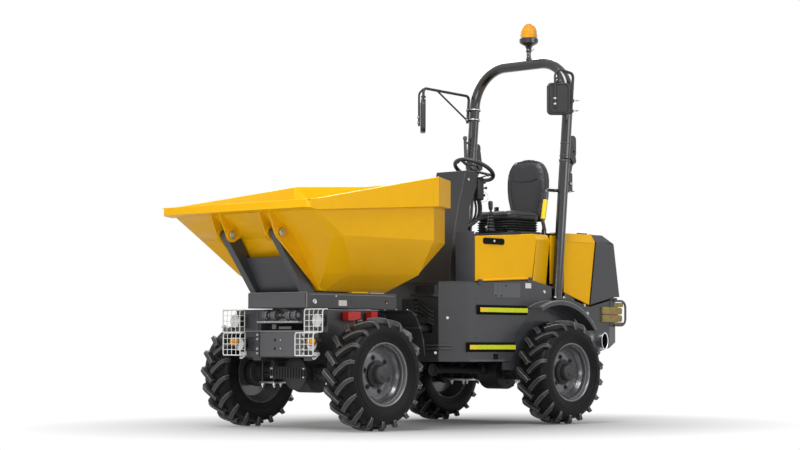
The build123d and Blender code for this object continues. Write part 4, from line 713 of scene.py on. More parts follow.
addBox(bm, (-0.09, -1.469, 0.7), (-0.05, -1.46, 0.733))
addBox(bm, (-0.212, -1.502, 0.743), (0.212, -1.46, 0.756), slot=2)
addBox(bm, (-0.148, -1.4745, 0.7565), (0.148, -1.4625, 0.773))
addBolts(bm, [(x, -1.4975, 0.7505) for x in (-0.13, -0.085, 0.085, 0.13)], (0, -1, 0), 0.0055, 0.006, slot=1)
finishPiece("slewMotors", bm, ["motorGrey", "zincSteel", "edgeBright"], "front_chassis", ("slew_drive",),
            bevel=0.0008)

# dark guard plates round the slewing ring, with a light grey painted highlight along their upper edge
bm = bmesh.new()
addBox(bm, (-0.3, -1.462, 0.7605), (0.3, -1.4575, 0.838))
for sideways in (-1, 1):
    addBox(bm, (sideways * 0.289, -1.457, 0.7605), (sideways * 0.297, -0.67, 0.834))
    addPipe(bm, [(sideways * 0.2975, -1.36, 0.835), (sideways * 0.2975, -0.672, 0.835)], 0.0034, slot=1)
finishPiece("ringGuards", bm, ["blackPaint", "edgeBright"], "front_chassis")

# red stop blocks on the beams beside the slewing ring
bm = bmesh.new()
for sideways in (-1, 1):
    for start, end in ((-1.165, -1.043), (-0.935, -0.872)):
        x0, x1 = sorted((sideways * 0.305, sideways * 0.365))
        addBox(bm, (x0, start, 0.7605), (x1, end, 0.822))
        outer, middle = sideways * 0.365, (start + end) / 2
        addCylinder(bm, (x0 + 0.03, middle, 0.822), (x0 + 0.03, middle, 0.827), 0.012, sides=20)
        addCylinder(bm, (outer, middle - 0.02, 0.79), (outer + sideways * 0.002, middle - 0.02, 0.79), 0.006,
                    sides=16)
finishPiece("slewStopBlocks", bm, "redPaint", "front_chassis", bevel=0.003)
print("nose made")


# skip and turret
tipLine = (-1.75, 1.355)
bm = bmesh.new()
for x in (-0.316, -0.19, 0.19, 0.316):  # pin heads beside the ears
    at = Vector((x, *tipLine))
    addSpin(bm, [(-0.004, 0.0), (-0.004, 0.03), (0.004, 0.03), (0.006, 0.027), (0.006, 0.0)], at, (1, 0, 0),
            steps=36)
    for side in (-1, 1):
        addBolt(bm, at + Vector((side * 0.005, 0, 0)), (side, 0, 0), 0.0155, 0.011)
finishPiece("earPinHeads", bm, ["zincSteel"], "skip", bevel=0.0008)

bm = bmesh.new()
for x in (-0.3, 0.3, -0.2, 0.2):  # rounded boss plates and weld beads on the ears
    for side in (-1, 1):
        at = (x + side * 0.0072, *tipLine)
        addSpin(bm, [(0, 0.034), (0.003, 0.034), (0.0045, 0.046), (0.003, 0.052), (0, 0.053)], at, (side, 0, 0),
                steps=36)
for x in (-0.3, 0.3):
    for side in (-1, 1):
        rail = x + side * 0.0085
        addPipe(bm, [(rail, -1.868, 1.4975), (rail, -1.8, 1.338), (rail, -1.76, 1.3), (rail, -1.395, 0.974)],
                0.003, 0.03, 1)
finishPiece("earWelds", bm, "yellowPaint", "skip", smooth=60)

bm = bmesh.new()
for side in (-1, 1):  # short rolled ends of the pouring lip
    addPipe(bm, [(side * 0.7455, -1.921, 1.553), (side * 0.7455, -1.835, 1.56)], 0.0042, 0.02, 2)
finishPiece("skipLipBeads", bm, "yellowPaint", "skip", smooth=60)

bm = bmesh.new()
# light grey strips along the folded top of the cover: painted highlights on the folds
top, low = Vector((0, -1.5985, 1.1995)), Vector((0, -1.456, 0.958))
along = (low - top).normalized()
out = Vector((0, along.z, -along.y))  # square to the slope, towards the front
for step, wide in ((0.004, 0.016), (0.03, 0.012), (0.048, 0.01)):
    a = top + along * step + out * 0.0005
    b = a + along * wide
    verts = addBox(bm, (-0.214, -0.5, -0.5), (0.214, 0.5, 0.5))
    bmesh.ops.scale(bm, vec=(1, 0.006, wide), verts=verts)
    bmesh.ops.rotate(bm, cent=(0, 0, 0), matrix=Matrix.Rotation(-atan2(-along.y, -along.z), 3, "X"),
                     verts=verts)
    bmesh.ops.translate(bm, vec=(a + b) / 2, verts=verts)
finishPiece("coverFolds", bm, "edgeBright", "turret", bevel=0.002)

bm = bmesh.new()
for side in (-1, 1):
    x = side * 0.3
    addSpin(bm, [(0, 0.009), (0.004, 0.01), (0.005, 0.015), (0.0035, 0.018), (0, 0.019)], (x, -1.43, 0.89),
            (side, 0, 0), steps=32)
    addBolt(bm, (x, -1.43, 0.89), (side, 0, 0), 0.009, 0.007)
    addBolt(bm, (x, -1.225, 0.93), (side, 0, 0), 0.0055, 0.006)
    addSpin(bm, [(0, 0.008), (0.0015, 0.009), (0.0015, 0.011), (0, 0.012)], (x, -1.071, 0.892), (side, 0, 0),
            steps=24, slot=1)
    # a deep black disc paints the shade inside a hole, with a small amber disc in it
    addSpin(bm, [(0.0002, 0.0), (0.001, 0.0), (0.001, 0.014), (0.0002, 0.014)], (x, -0.721, 0.892),
            (side, 0, 0), steps=24, slot=2)
    addSpin(bm, [(0.001, 0.0), (0.0018, 0.0), (0.0018, 0.008), (0.001, 0.008)], (x, -0.719, 0.889),
            (side, 0, 0), steps=18, slot=3)
    addBox(bm, (x, -1.198, 0.863), (x + side * 0.0015, -1.118, 0.902), slot=4)
    addBox(bm, (x, -1.071, 0.9552), (x - side * 0.04, -0.902, 0.964), slot=5)
    # a white strip on the rail top behind the yellow strip: a painted highlight
    addBox(bm, (x - side * 0.004, -0.88, 0.9552), (x - side * 0.03, -0.74, 0.96), slot=4)
# light grey lines along the front and top edges of the turret: painted highlights
for x in (-0.2985, 0.2985):
    addPipe(bm, [(x, -1.5035, 0.848), (x, -1.5035, 0.952)], 0.0026, slot=6)
    addPipe(bm, [(x * 1.006, -1.48, 0.94), (x * 1.006, -0.64, 0.94)], 0.0022, slot=6)
addPipe(bm, [(-0.298, -1.5032, 0.9535), (0.298, -1.5032, 0.9535)], 0.0024, slot=6)
finishPiece("turretFittings", bm, ["zincSteel", "blackPaint", "deepBlack", "amberPlastic", "labelAndHighlightWhite",
                                   "limeYellow", "edgeBright"], "turret", bevel=0.0006)

bm = bmesh.new()
addBox(bm, (-0.286, -1.507, 0.853), (0.286, -1.5045, 0.948))
finishPiece("turretFrontPanel", bm, "panelGrey", "turret", bevel=0.001)

# rotary joint, valve block and pipes on the deck behind the slewing ring
bm = bmesh.new()
addBox(bm, (-0.24, -0.86, 0.7605), (0.11, -0.68, 0.838))
for x in (-0.2, -0.14, -0.08, -0.02, 0.04):
    addCylinder(bm, (x, -0.68, 0.795), (x, -0.664, 0.795), 0.014, sides=6, slot=1)
    addCylinder(bm, (x, -0.664, 0.795), (x, -0.65, 0.795), 0.01, sides=16)
finishPiece("deckValveBlock", bm, ["blackPaint", "zincSteel"], "front_chassis", bevel=0.0015)

bm = bmesh.new()
addBox(bm, (-0.215, -1.366, 0.352), (0.15, -1.318, 0.436))
for number in range(13):
    x = -0.205 + number * 0.0285
    addBox(bm, (x - 0.0035, -1.377, 0.356), (x + 0.0035, -1.36, 0.432))
addBolts(bm, [(x, -1.366, z) for x in (-0.198, 0.133) for z in (0.364, 0.424)], (0, -1, 0), 0.0075, 0.012,
         slot=1)
addSpin(bm, [(0.0, 0.0), (0.0, 0.112), (0.01, 0.118), (0.014, 0.112), (0.02, 0.06), (0.026, 0.03),
             (0.027, 0.0)], (0, -1.318, 0.39), (0, -1, 0), steps=48)
finishPiece("frontAxleCooler", bm, ["castBlack", "zincSteel"], "front_chassis", bevel=0.0015)


def makeAxleClamps(name, axle, body):
    bm = bmesh.new()
    for side in (-1, 1):
        x0, x1 = sorted((side * 0.262, side * 0.42))
        addBox(bm, (x0, axle - 0.105, 0.315), (x1, axle + 0.105, 0.3275))
        for x in (x0 + 0.018, x1 - 0.018):
            for y in (axle - 0.088, axle + 0.088):
                addCylinder(bm, (x, y, 0.315), (x, y, 0.478), 0.0075, sides=16, slot=1)
                addCylinder(bm, (x, y, 0.285), (x, y, 0.315), 0.007, sides=16)
                addCylinder(bm, (x, y, 0.302), (x, y, 0.315), 0.0125, sides=6)
            addPipe(bm, [(x, axle - 0.088, 0.45), (x, axle - 0.088, 0.478), (x, axle + 0.088, 0.478),
                         (x, axle + 0.088, 0.45)], 0.0075, 0.03, 2, slot=1)
    finishPiece(name, bm, ["zincSteel", "castBlack"], body, bevel=0.001)
    bm = bmesh.new()
    for side in (-1, 1):  # ribs, brake drums and bolt rings on the axle arms
        for number in range(10):
            turn = Matrix.Rotation(number * pi / 5, 3, "X")
            at = Vector((side * 0.15, axle, wheel["radius"])) + turn @ Vector((0, 0, 0.108))
            addBolt(bm, at, (side, 0, 0), 0.008, 0.011, slot=1)
        for x in (0.205, 0.47):
            addSpin(bm, band(0.008, 0.06, 0.006, 0.072), (side * x, axle, wheel["radius"]), (1, 0, 0), steps=40,
                    slot=1)
        addSpin(bm, [(-0.03, 0.06), (-0.028, 0.094), (-0.018, 0.1), (0.02, 0.1), (0.024, 0.094), (0.026, 0.06)],
                (side * 0.545, axle, wheel["radius"]), (1, 0, 0), steps=48, slot=1)
        for number in range(8):
            turn = Matrix.Rotation(number * pi / 4, 3, "X")
            at = Vector((side * 0.515, axle, wheel["radius"])) + turn @ Vector((0, 0, 0.083))
            addBolt(bm, at, (-side, 0, 0), 0.0065, 0.01, slot=1)
    finishPiece(f"{name}Drums", bm, ["zincSteel", "castBlack"], body, bevel=0.001)


for end, axle in wheel["axles"].items():
    makeAxleClamps(f"{end}AxleClamps", axle, f"{end}_chassis")

# drive line, pipes and block at the centre pivot
bm = bmesh.new()
addSpin(bm, [(-0.34, 0.0), (-0.34, 0.03), (-0.31, 0.034), (-0.3, 0.026), (0.2, 0.026), (0.21, 0.04),
             (0.235, 0.04), (0.24, 0.0)], (0.0, 0.42, 0.405), (0, 1, 0), steps=32)
for y in (0.1, 0.65):
    addSpin(bm, band(0.012, 0.024, 0.012, 0.046), (0.0, y, 0.405), (0, 1, 0), steps=32)
finishPiece("driveShaft", bm, ["castBlack", "zincSteel"], "rear_chassis", bevel=0.001)

bm = bmesh.new()
# pipes clipped to the front face of the body, each ending in its union on the block
for number in range(4):
    z = 0.905 - number * 0.03
    addPipe(bm, [(0.15, -0.236 - number * 0.004, z), (0.225, -0.262, z - 0.01), (0.29, -0.262, z - 0.06),
                 (0.318, -0.24, z - 0.075)], 0.0085, 0.03, 2)
    addCylinder(bm, (0.13, -0.2365 - number * 0.004, z), (0.158, -0.2365 - number * 0.004, z), 0.012, sides=6,
                slot=1)
addBox(bm, (0.02, -0.268, 0.8), (0.135, -0.2255, 0.93))
addBox(bm, (0.15, -0.262, 0.965), (0.345, -0.2255, 1.03))
addBox(bm, (0.12, -0.285, 0.945), (0.35, -0.2255, 0.965))
for x in (0.16, 0.2, 0.24, 0.28):
    addCylinder(bm, (x, -0.262, 1.0), (x, -0.275, 1.0), 0.011, sides=6)
finishPiece("pivotPipework", bm, ["blackRubber", "zincSteel"], "rear_chassis", bevel=0.0012)

bm = bmesh.new()
# stowed lock bar lying along the chamfered panel, with its bolts
for z in (0.566, 0.59):
    addPipe(bm, [(0.236, -0.24, z), (0.348, -0.238, z), (0.424, -0.162, z)], 0.0072, 0.03, 3)
for side in (-1, 1):
    a, b = Vector((side * 0.35, -0.225, 0)), Vector((side * 0.5, -0.065, 0))
    way = (b - a).normalized()
    face = Vector((way.y * side, -way.x * side, 0)).normalized()  # outward
    for share, z in ((0.3, 0.79), (-0.1, 0.535)):
        addBolt(bm, a.lerp(b, share) + Vector((0, 0, z)), face, 0.0085, 0.008, slot=1)
finishPiece("lockBar", bm, ["panelGrey", "zincSteel"], "rear_chassis", bevel=0.0008)

# flap edges: rims along the curved rubber and the seam across it, in a lighter grey than the rubber as painted
# highlights
bm = bmesh.new()
rows = [(-0.8, 0.8355), (-0.7455, 0.8145), (-0.6905, 0.7275), (-0.648, 0.62), (-0.637, 0.516)]
for side in (-1, 1):
    for x in (0.3045, 0.5965):
        addPipe(bm, [(side * x, y, z) for y, z in rows], 0.003, 0.05, 2)
    addBox(bm, (side * 0.302, -0.692, 0.708), (side * 0.598, -0.679, 0.716))
    addBolts(bm, [(side * x, -0.775, 0.8335) for x in (0.34, 0.45, 0.56)], (0, 0.35, 0.94), 0.007, 0.007,
             slot=1)
finishPiece("flapEdges", bm, ["panelGrey", "zincSteel"], "front_chassis")
print("turret and pivot made")


# body sides: steps, fittings, painted shade sheets on the box fronts, and arches
sideSteps = [(-0.08, 0.44, 0.555, 0.6), (0.035, 0.58, 0.83, 0.875)]  # front, rear, low, high
bm = bmesh.new()
for side in (-1, 1):
    for front, rear, low, high in sideSteps:
        addBox(bm, (side * 0.5002, front + 0.002, low + 0.001), (side * 0.5225, rear - 0.002, high - 0.006),
               slot=1)
        # a deep black frame round each step: painted shade in the recess the step sits in
        addBox(bm, (side * 0.5002, front - 0.014, low - 0.014), (side * 0.5035, rear + 0.012, high + 0.013),
               slot=1)
        x0, x1 = sorted((side * 0.5225, side * 0.5248))
        addBox(bm, (x0, front + 0.004, low + 0.005), (x1, rear - 0.004, high - 0.007))
        addBox(bm, (x0, front + 0.004, low + 0.005), (x1 + 0.0001 * side, front + 0.085, high - 0.007), slot=2)
        count = int((rear - front) / 0.021)
        for number in range(count):  # toothed tread on top of each step
            y = front + 0.012 + number * (rear - front - 0.024) / (count - 1)
            addBox(bm, (side * 0.506, y - 0.0045, high - 0.006), (side * 0.5235, y + 0.0045, high - 0.0005),
                   slot=1)
finishPiece("sideSteps", bm, ["limePaint", "deepBlack", "limeYellow"], "rear_chassis", ("steps",), bevel=0.001)

bm = bmesh.new()
for side in (-1, 1):
    addBox(bm, (side * 0.5002, 0.212, 0.946), (side * 0.5018, 0.514, 1.056))  # lighter hatch low on the side
    for number in range(11):
        z = 0.952 + number * 0.0098
        addCylinder(bm, (side * 0.5018, 0.258, z), (side * 0.5026, 0.258, z), 0.0022, sides=10, slot=1)
    hatchBolts = [(side * 0.5018, y, z) for y, z in ((0.3, 0.958), (0.35, 1.034), (0.235, 0.958))]
    addBolts(bm, hatchBolts, (side, 0, 0), 0.0045, 0.004, slot=1)
    addBox(bm, (side * 0.5002, 0.575, 1.02), (side * 0.5014, 0.642, 1.06), slot=2)
    for y, z in ((0.01, 0.868), (0.01, 0.93), (0.01, 0.64)):
        addCylinder(bm, (side * 0.4998, y, z), (side * 0.5008, y, z), 0.0045, sides=12, slot=1)
    addBolt(bm, (side * 0.5, 0.794, 0.996), (side, 0, 0), 0.011, 0.009, slot=3)
    addBox(bm, (side * 0.5001, -0.055, 0.4715), (side * 0.5022, 0.34, 0.485))  # folded lower edge
    addBox(bm, (side * 0.5001, 0.21, 0.486), (side * 0.5022, 0.262, 0.528), slot=1)
finishPiece("bodySideFittings", bm, ["panelGrey", "deepBlack", "labelAndHighlightWhite", "zincSteel"], "rear_chassis",
            bevel=0.0005)

# bluish grey sheets over the box fronts beside the console, painted shade in a cooler tone cancelling the
# yellow light bounced from the skip; a lighter line down the body's front corner is a painted highlight
bm = bmesh.new()
for side in (-1, 1):
    addBox(bm, (side * 0.302, 0.0115, 1.062), (side * 0.487, 0.0145, 1.428))
    addPipe(bm, [(side * 0.4985, -0.066, 0.48), (side * 0.4985, -0.066, 1.05)], 0.0018)
finishPiece("nicheShadeSheets", bm, "shadeGrey", "rear_chassis", bevel=0.0008)

# dark wall inside each wheel arch
rearAxle = (wheel["axles"]["rear"], wheel["radius"])
bm = bmesh.new()
for side in (-1, 1):
    ring = [(0.4785, 0.3), (0.4865, 0.3), (0.4865, 0.505), (0.4785, 0.505)]
    verts = [bm.verts.new((side * across, rearAxle[0] + radius, rearAxle[1])) for across, radius in ring]
    face = bm.faces.new(verts)
    bmesh.ops.spin(bm, geom=[face], cent=(0, *rearAxle), axis=(1, 0, 0), angle=radians(178), steps=40,
                   use_merge=False, use_duplicate=False)
bmesh.ops.translate(bm, vec=(0, 0, 0.002), verts=bm.verts)
bmesh.ops.recalc_face_normals(bm, faces=bm.faces)
finishPiece("wheelArchWalls", bm, "blackPaint", "rear_chassis", smooth=40)

# rolled edges of each mudguard, light grey as painted highlights, and the bolts behind it
guard = {"radius": 0.5345, "start": 37.4, "end": 114.9}
bm = bmesh.new()
for side in (-1, 1):
    for across, out, thick in ((0.6375, 0.003, 0.003), (0.615, 0.0042, 0.0016), (0.508, 0.003, 0.0024)):
        lean = Matrix.Rotation(radians(guard["start"]), 3, "X")
        start = lean @ Vector((0, guard["radius"] + out, 0))
        verts = bmesh.ops.create_circle(bm, cap_ends=True, segments=8, radius=thick)["verts"]
        bmesh.ops.rotate(bm, cent=(0, 0, 0), matrix=lean, verts=verts)
        turn = Vector((0, 0, 1)).rotation_difference(Vector((0, -start.z, start.y))).to_matrix()
        bmesh.ops.rotate(bm, cent=(0, 0, 0), matrix=turn, verts=verts)
        bmesh.ops.translate(bm, vec=(side * across, rearAxle[0] + start.y, rearAxle[1] + start.z), verts=verts)
        face = {f for v in verts for f in v.link_faces}
        bmesh.ops.spin(bm, geom=list(face), cent=(0, *rearAxle), axis=(1, 0, 0), steps=28,
                       angle=radians(guard["end"] - guard["start"]), use_merge=False, use_duplicate=False)
    addBolts(bm, [(side * 0.4652, 1.322, 0.905), (side * 0.4652, 1.36, 0.842)], (side, 0, 0), 0.01, 0.009,
             slot=1)
bmesh.ops.recalc_face_normals(bm, faces=bm.faces)
finishPiece("mudguardEdges", bm, ["edgeBright", "zincSteel"], "rear_chassis")


# doors, bonnet, tail
for sideName, side in (("left", 1), ("right", -1)):
    bm = bmesh.new()
    addPlate(bm, (side * 0.5, 0.092, 1.337), (side * 0.504, 0.333, 1.384), 0.02)  # recessed grip and its latch
    addPlate(bm, (side * 0.504, 0.112, 1.368), (side * 0.5095, 0.313, 1.3815), 0.006)
    addPlate(bm, (side * 0.504, 0.15, 1.341), (side * 0.5095, 0.285, 1.348), 0.003)
    addCylinder(bm, (side * 0.504, 0.212, 1.362), (side * 0.5105, 0.212, 1.362), 0.0095, sides=24, slot=1)
    finishPiece(f"{sideName}DoorFittings", bm, ["deepBlack", "zincSteel"], f"{sideName}_door", bevel=0.0012)

bm = bmesh.new()
for side in (-1, 1):
    addPipe(bm, [(side * 0.4803, 1.056, 1.392), (side * 0.4803, 1.44, 1.392)], 0.0022)
finishPiece("bonnetCrease", bm, "yellowPaint", "engine_cover", smooth=60)

bm = bmesh.new()
for side in (-1, 1):
    addBolts(bm, [(side * 0.42, 1.3 + number * 0.026, 1.46) for number in range(5)], (0, 0, 1), 0.0075, 0.009)
for number in range(7):
    for row in range(3):
        x = -0.15 + number * 0.05
        addPlate(bm, (x - 0.017, 1.27 + row * 0.035, 1.4597), (x + 0.017, 1.278 + row * 0.035, 1.4606), 0.0035,
                 axis=2, segments=3)
finishPiece("bonnetVents", bm, "deepBlack", "engine_cover")

# yellow returns behind the posts, between flanks and cover
bm = bmesh.new()
for side in (-1, 1):
    addBox(bm, (side * 0.434, 0.94, 1.062), (side * 0.438, 1.042, 1.434))
finishPiece("flankReturns", bm, "yellowPaint", "rear_chassis", bevel=0.001)

# dark trim where the bonnet meets the rear cover, with a lighter grey line beside it as a painted highlight
bm = bmesh.new()
for side in (-1, 1):
    addPipe(bm, [(side * 0.481, 1.372, 0.908), (side * 0.481, 1.4475, 1.403)], 0.0052)
    addPipe(bm, [(side * 0.4822, 1.38, 0.906), (side * 0.4822, 1.456, 1.403)], 0.0024, slot=1)
finishPiece("coverTrim", bm, ["deepBlack", "panelGrey"], "engine_cover")


def tailY(z):
    # the rear cover's sloping back at a height
    return 1.753 - (z - 0.975) * (1.753 - 1.68) / (1.394 - 0.975)


bm = bmesh.new()
for row in range(9):  # louvres in the back of the rear cover
    z = 1.06 + row * 0.034
    y = tailY(z)
    addPlate(bm, (-0.3, y - 0.004, z - 0.009), (0.3, y + 0.0035, z + 0.009), 0.006, axis=1, segments=3)
    addBox(bm, (-0.296, y - 0.001, z - 0.003), (0.296, y + 0.0125, z + 0.003),
           Matrix.Rotation(radians(-28), 3, "X"), slot=1)
addBolts(bm, [(x, tailY(z), z) for x in (-0.34, 0.34) for z in (1.02, 1.36)], (0, 1, 0.17), 0.009, 0.007,
         slot=2)
finishPiece("rearLouvres", bm, ["deepBlack", "greyPlastic", "zincSteel"], "engine_cover", bevel=0.0008)

bm = bmesh.new()
addBox(bm, (-0.455, 1.66, 0.9455), (0.455, 1.752, 0.968))
addBox(bm, (-0.3, 1.7605, 0.7), (0.3, 1.7665, 0.9))
addPlate(bm, (-0.13, 1.7665, 0.775), (0.13, 1.7685, 0.835), 0.01, slot=1, axis=1)
addBolts(bm, [(x, 1.7665, z) for x in (-0.285, 0.285) for z in (0.715, 0.885)], (0, 1, 0), 0.009, 0.008, slot=2)
finishPiece("tailPlates", bm, ["blackPaint", "panelGrey", "zincSteel"], "rear_chassis", bevel=0.0015)

# tail lamps in their hoops
lampBox = {"in": 0.3365, "out": 0.4785, "low": 0.7755, "high": 0.8945}
bm = bmesh.new()
for side in (-1, 1):
    x0, x1 = sorted((side * lampBox["in"], side * lampBox["out"]))
    for low, high in ((lampBox["low"], 0.831), (0.838, lampBox["high"])):
        addPlate(bm, (x0, 1.5365, low), (x1, 1.74, high), 0.006, slot=1)
    addBox(bm, (x0 + 0.004, 1.54, lampBox["low"] + 0.004), (x1 - 0.004, 1.738, lampBox["high"] - 0.004))
    for low, high in ((0.896, 0.93), (0.756, 0.7745)):
        addBox(bm, (x0 + 0.012, 1.7, low), (x1 - 0.012, 1.815, high), slot=1)
    for low, high in ((0.779, 0.832), (0.837, 0.8915)):
        addPlate(bm, (x0 + 0.003, 1.736, low), (x1 - 0.003, 1.784, high), 0.008, slot=1, axis=1)
        addPlate(bm, (x0 + 0.008, 1.784, low + 0.005), (x1 - 0.008, 1.7975, high - 0.005), 0.008, slot=1,
                 axis=1)
        for number in range(9):
            x = x0 + 0.014 + number * 0.0142
            addBox(bm, (x - 0.0012, 1.7975, low + 0.008), (x + 0.0012, 1.7985, high - 0.008), slot=2)
    x = side * 0.479
    addBox(bm, (x, 1.64, 0.832), (x + side * 0.0008, 1.735, 0.837), slot=2)
    addBolt(bm, (side * 0.4795 - side * 0.009, 1.69, 0.835), (side, 0, 0), 0.007, 0.0088)
    for across in (0.345, 0.47):  # bent bar guard
        x = side * across
        addPipe(bm, [(x, 1.69, 0.944), (x, 1.838, 0.944), (x, 1.838, 0.75), (x, 1.69, 0.75)], 0.0092, 0.055, 3,
                slot=3)
    for z in (0.944, 0.75):
        addPipe(bm, [(side * 0.345, 1.8, z), (side * 0.47, 1.8, z)], 0.0072, 0.02, 3, slot=3)
    for z in (0.895, 0.75):
        addBox(bm, (x0 + 0.01, 1.64, z), (x1 - 0.01, 1.7, z + 0.05 if z > 0.8 else z + 0.026), slot=3)
finishPiece("tailLamps", bm, ["glossBlack", "oliveLamp", "redPaint", "blackPaint"], "rear_chassis",
            ("rear_lamp_guards",), bevel=0.001)

# oval exhaust end
bm = bmesh.new()
low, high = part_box("exhaust_tip")
tip = {"x": high.x, "y": (low.y + high.y) / 2, "z": (low.z + high.z) / 2, "wide": 0.0435, "tall": 0.0695}
rows = [(-0.0545, 1.0, 1.0), (-0.006, 1.0, 1.0), (-0.0008, 0.965, 0.978), (0.0, 0.88, 0.92),
        (-0.002, 0.76, 0.84), (-0.01, 0.66, 0.76), (-0.05, 0.64, 0.75)]
last = None
for number, (along, wide, tall) in enumerate(rows):
    made = bmesh.ops.create_circle(bm, cap_ends=False, segments=48, radius=1.0)["verts"]
    bmesh.ops.scale(bm, vec=(tip["wide"] * wide, tip["tall"] * tall, 1), verts=made)
    bmesh.ops.rotate(bm, cent=(0, 0, 0), matrix=Matrix(((0, 0, 1), (1, 0, 0), (0, 1, 0))), verts=made)
    bmesh.ops.translate(bm, vec=(tip["x"] + along, tip["y"], tip["z"]), verts=made)
    edges = edgesAt(made)
    if last:
        faces = bmesh.ops.bridge_loops(bm, edges=last + edges)["faces"]
        for face in faces:
            face.material_index = 1 if number >= 5 else 0
    last = edges
for face in bmesh.ops.edgeloop_fill(bm, edges=last)["faces"]:
    face.material_index = 1
bmesh.ops.recalc_face_normals(bm, faces=bm.faces)
finishPiece("exhaustEnd", bm, ["chromeSteel", "deepBlack"], "rear_chassis", ("exhaust_tip",), smooth=50)
print("body and tail made")


# seat, rails and wheel; cushion and back are half width, front, rear, low and high
seat = {"base": (1.46, 1.5555), "cushion": (0.22, 0.745, 1.15, 1.556, 1.632),
        "back": (0.205, 1.15, 1.25, 1.556, 2.065)}
pad = {"pressure": 4.0, "voxel": 0.005, "stiffness": 40, "bending": 4, "frames": 20}


def swellPad(piece, finish, cap):
    # fill the pad with air as cloth, moving no point further than the cap
    bpy.context.view_layer.objects.active = piece
    remesh = piece.modifiers.new("remesh", "REMESH")
    remesh.mode = "VOXEL"
    remesh.voxel_size = pad["voxel"]
    depsgraph = bpy.context.evaluated_depsgraph_get()
    base = bpy.data.meshes.new_from_object(piece.evaluated_get(depsgraph))
    piece.modifiers.clear()
    old = piece.data
    piece.data = base
    bpy.data.meshes.remove(old)
    start = [v.co.copy() for v in piece.data.vertices]
    cloth = piece.modifiers.new("cloth", "CLOTH")
    cloth.settings.use_pressure = True
    cloth.settings.uniform_pressure_force = pad["pressure"]
    cloth.settings.effector_weights.gravity = 0
    cloth.settings.tension_stiffness = pad["stiffness"]
    cloth.settings.compression_stiffness = pad["stiffness"]
    cloth.settings.bending_stiffness = pad["bending"]
    scene = bpy.context.scene
    for number in range(1, pad["frames"] + 1):
        scene.frame_set(number)
    swollen = bpy.data.meshes.new_from_object(piece.evaluated_get(bpy.context.evaluated_depsgraph_get()))
    piece.modifiers.clear()
    for vert, moved, first in zip(piece.data.vertices, swollen.vertices, start):
        shift = moved.co - first
        if shift.length > cap:
            shift *= cap / shift.length
        vert.co = first + shift
    bpy.data.meshes.remove(swollen)
    scene.frame_set(1)
    piece.data.materials.clear()
    piece.data.materials.append(materials[finish])
    piece.data.polygons.foreach_set("use_smooth", [True] * len(piece.data.polygons))


def ringEdges(bm, ring):
    # a closed ring of edges through the given points
    made = bmesh.ops.create_circle(bm, cap_ends=False, segments=len(ring), radius=1.0)["verts"]
    for vert, point in zip(made, ring):
        vert.co = point
    return edgesAt(made)


def loftRings(bm, rings):
    # skin the rings in their order and close both ends
    last = None
    for ring in rings:
        edges = ringEdges(bm, ring)
        if last:
            bmesh.ops.bridge_loops(bm, edges=last + edges)
        else:
            bmesh.ops.edgeloop_fill(bm, edges=edges)
        last = edges
    bmesh.ops.edgeloop_fill(bm, edges=last)
    bmesh.ops.recalc_face_normals(bm, faces=bm.faces)


def superOval(halfX, halfY, power, count=48):
    # points round an oval; a higher power makes it squarer
    def bulge(share):
        return abs(share) ** (2 / power) * (1 if share >= 0 else -1)

    turns = [2 * pi * number / count for number in range(count)]
    return [(halfX * bulge(cos(angle)), halfY * bulge(sin(angle))) for angle in turns]


# cushion: a low crowned pad with a dished middle
halfX, frontY, rearY, lowZ, highZ = seat["cushion"]
midY, halfY = (frontY + rearY) / 2, (rearY - frontY) / 2
bm = bmesh.new()
rings = []
for share, shrink in ((0.0, 0.9), (0.12, 0.965), (0.35, 0.985), (0.62, 0.975), (0.82, 0.93), (0.95, 0.82),
                      (1.0, 0.62)):
    z = lowZ + 0.002 + (highZ - lowZ - 0.003) * share
    rings.append([Vector((x * shrink, midY + y * shrink, z)) for x,
                  y in superOval(halfX - 0.006, halfY - 0.006, 4.2)])
loftRings(bm, rings)
for vert in bm.verts:
    if vert.co.z > lowZ + 0.045:
        across, along = vert.co.x / halfX, (vert.co.y - midY) / halfY
        vert.co.z -= 0.01 * max(0, 1 - across * across * 2.2) * max(0, 1 - along * along)
        vert.co.z += 0.004 * max(0, -along - 0.4)
cushion = finishPiece("seatCushion", bm, "blackVinyl", "rear_chassis", ("seat_cushion",), smooth=80)
swellPad(cushion, "blackVinyl", 0.006)

# back: a waisted shell, thin at its edge and full in the middle
halfX, frontY, rearY, lowZ, highZ = seat["back"]


def backHalf(z):
    # half the back's width at a height
    share = (z - lowZ) / (highZ - lowZ)
    rows = [(0.0, 0.158), (0.12, 0.164), (0.24, 0.176), (0.38, 0.196), (0.52, 0.2048), (0.66, 0.204),
            (0.76, 0.196), (0.85, 0.176), (0.92, 0.146), (0.965, 0.112), (0.99, 0.075), (1.0, 0.04)]
    for (a, first), (b, second) in zip(rows, rows[1:]):
        if share <= b + 1e-9:
            t = (share - a) / (b - a)
            return first + (second - first) * t
    return rows[-1][1]


def makeBackShape(bm, inset, frontAt, rearAt, lowCut=0.0, highCut=0.0, dish=0.0):
    rings = []
    count = 26
    for number in range(count + 1):
        share = number / count
        z = lowZ + lowCut + (highZ - lowZ - lowCut - highCut) * share
        half = max(backHalf(min(z + inset * 0.6, highZ)) - inset, 0.02)
        edge = min(1.0, share * 7 + 0.35, (1 - share) * 9 + 0.3)
        mid, deep = (frontAt + rearAt) / 2, (rearAt - frontAt) / 2 * edge
        ring = []
        for x, y in superOval(half, deep, 3.6, 40):
            lean = dish * (1 - (x / half) ** 2) if y < 0 else 0
            ring.append(Vector((x, mid + y + lean, z)))
        rings.append(ring)
    loftRings(bm, rings)


bm = bmesh.new()
makeBackShape(bm, 0.0015, frontY + 0.01, rearY - 0.002, 0.003, 0.002)
back = finishPiece("seatBack", bm, "blackVinyl", "rear_chassis", ("seat_back",), smooth=80)
swellPad(back, "blackVinyl", 0.004)

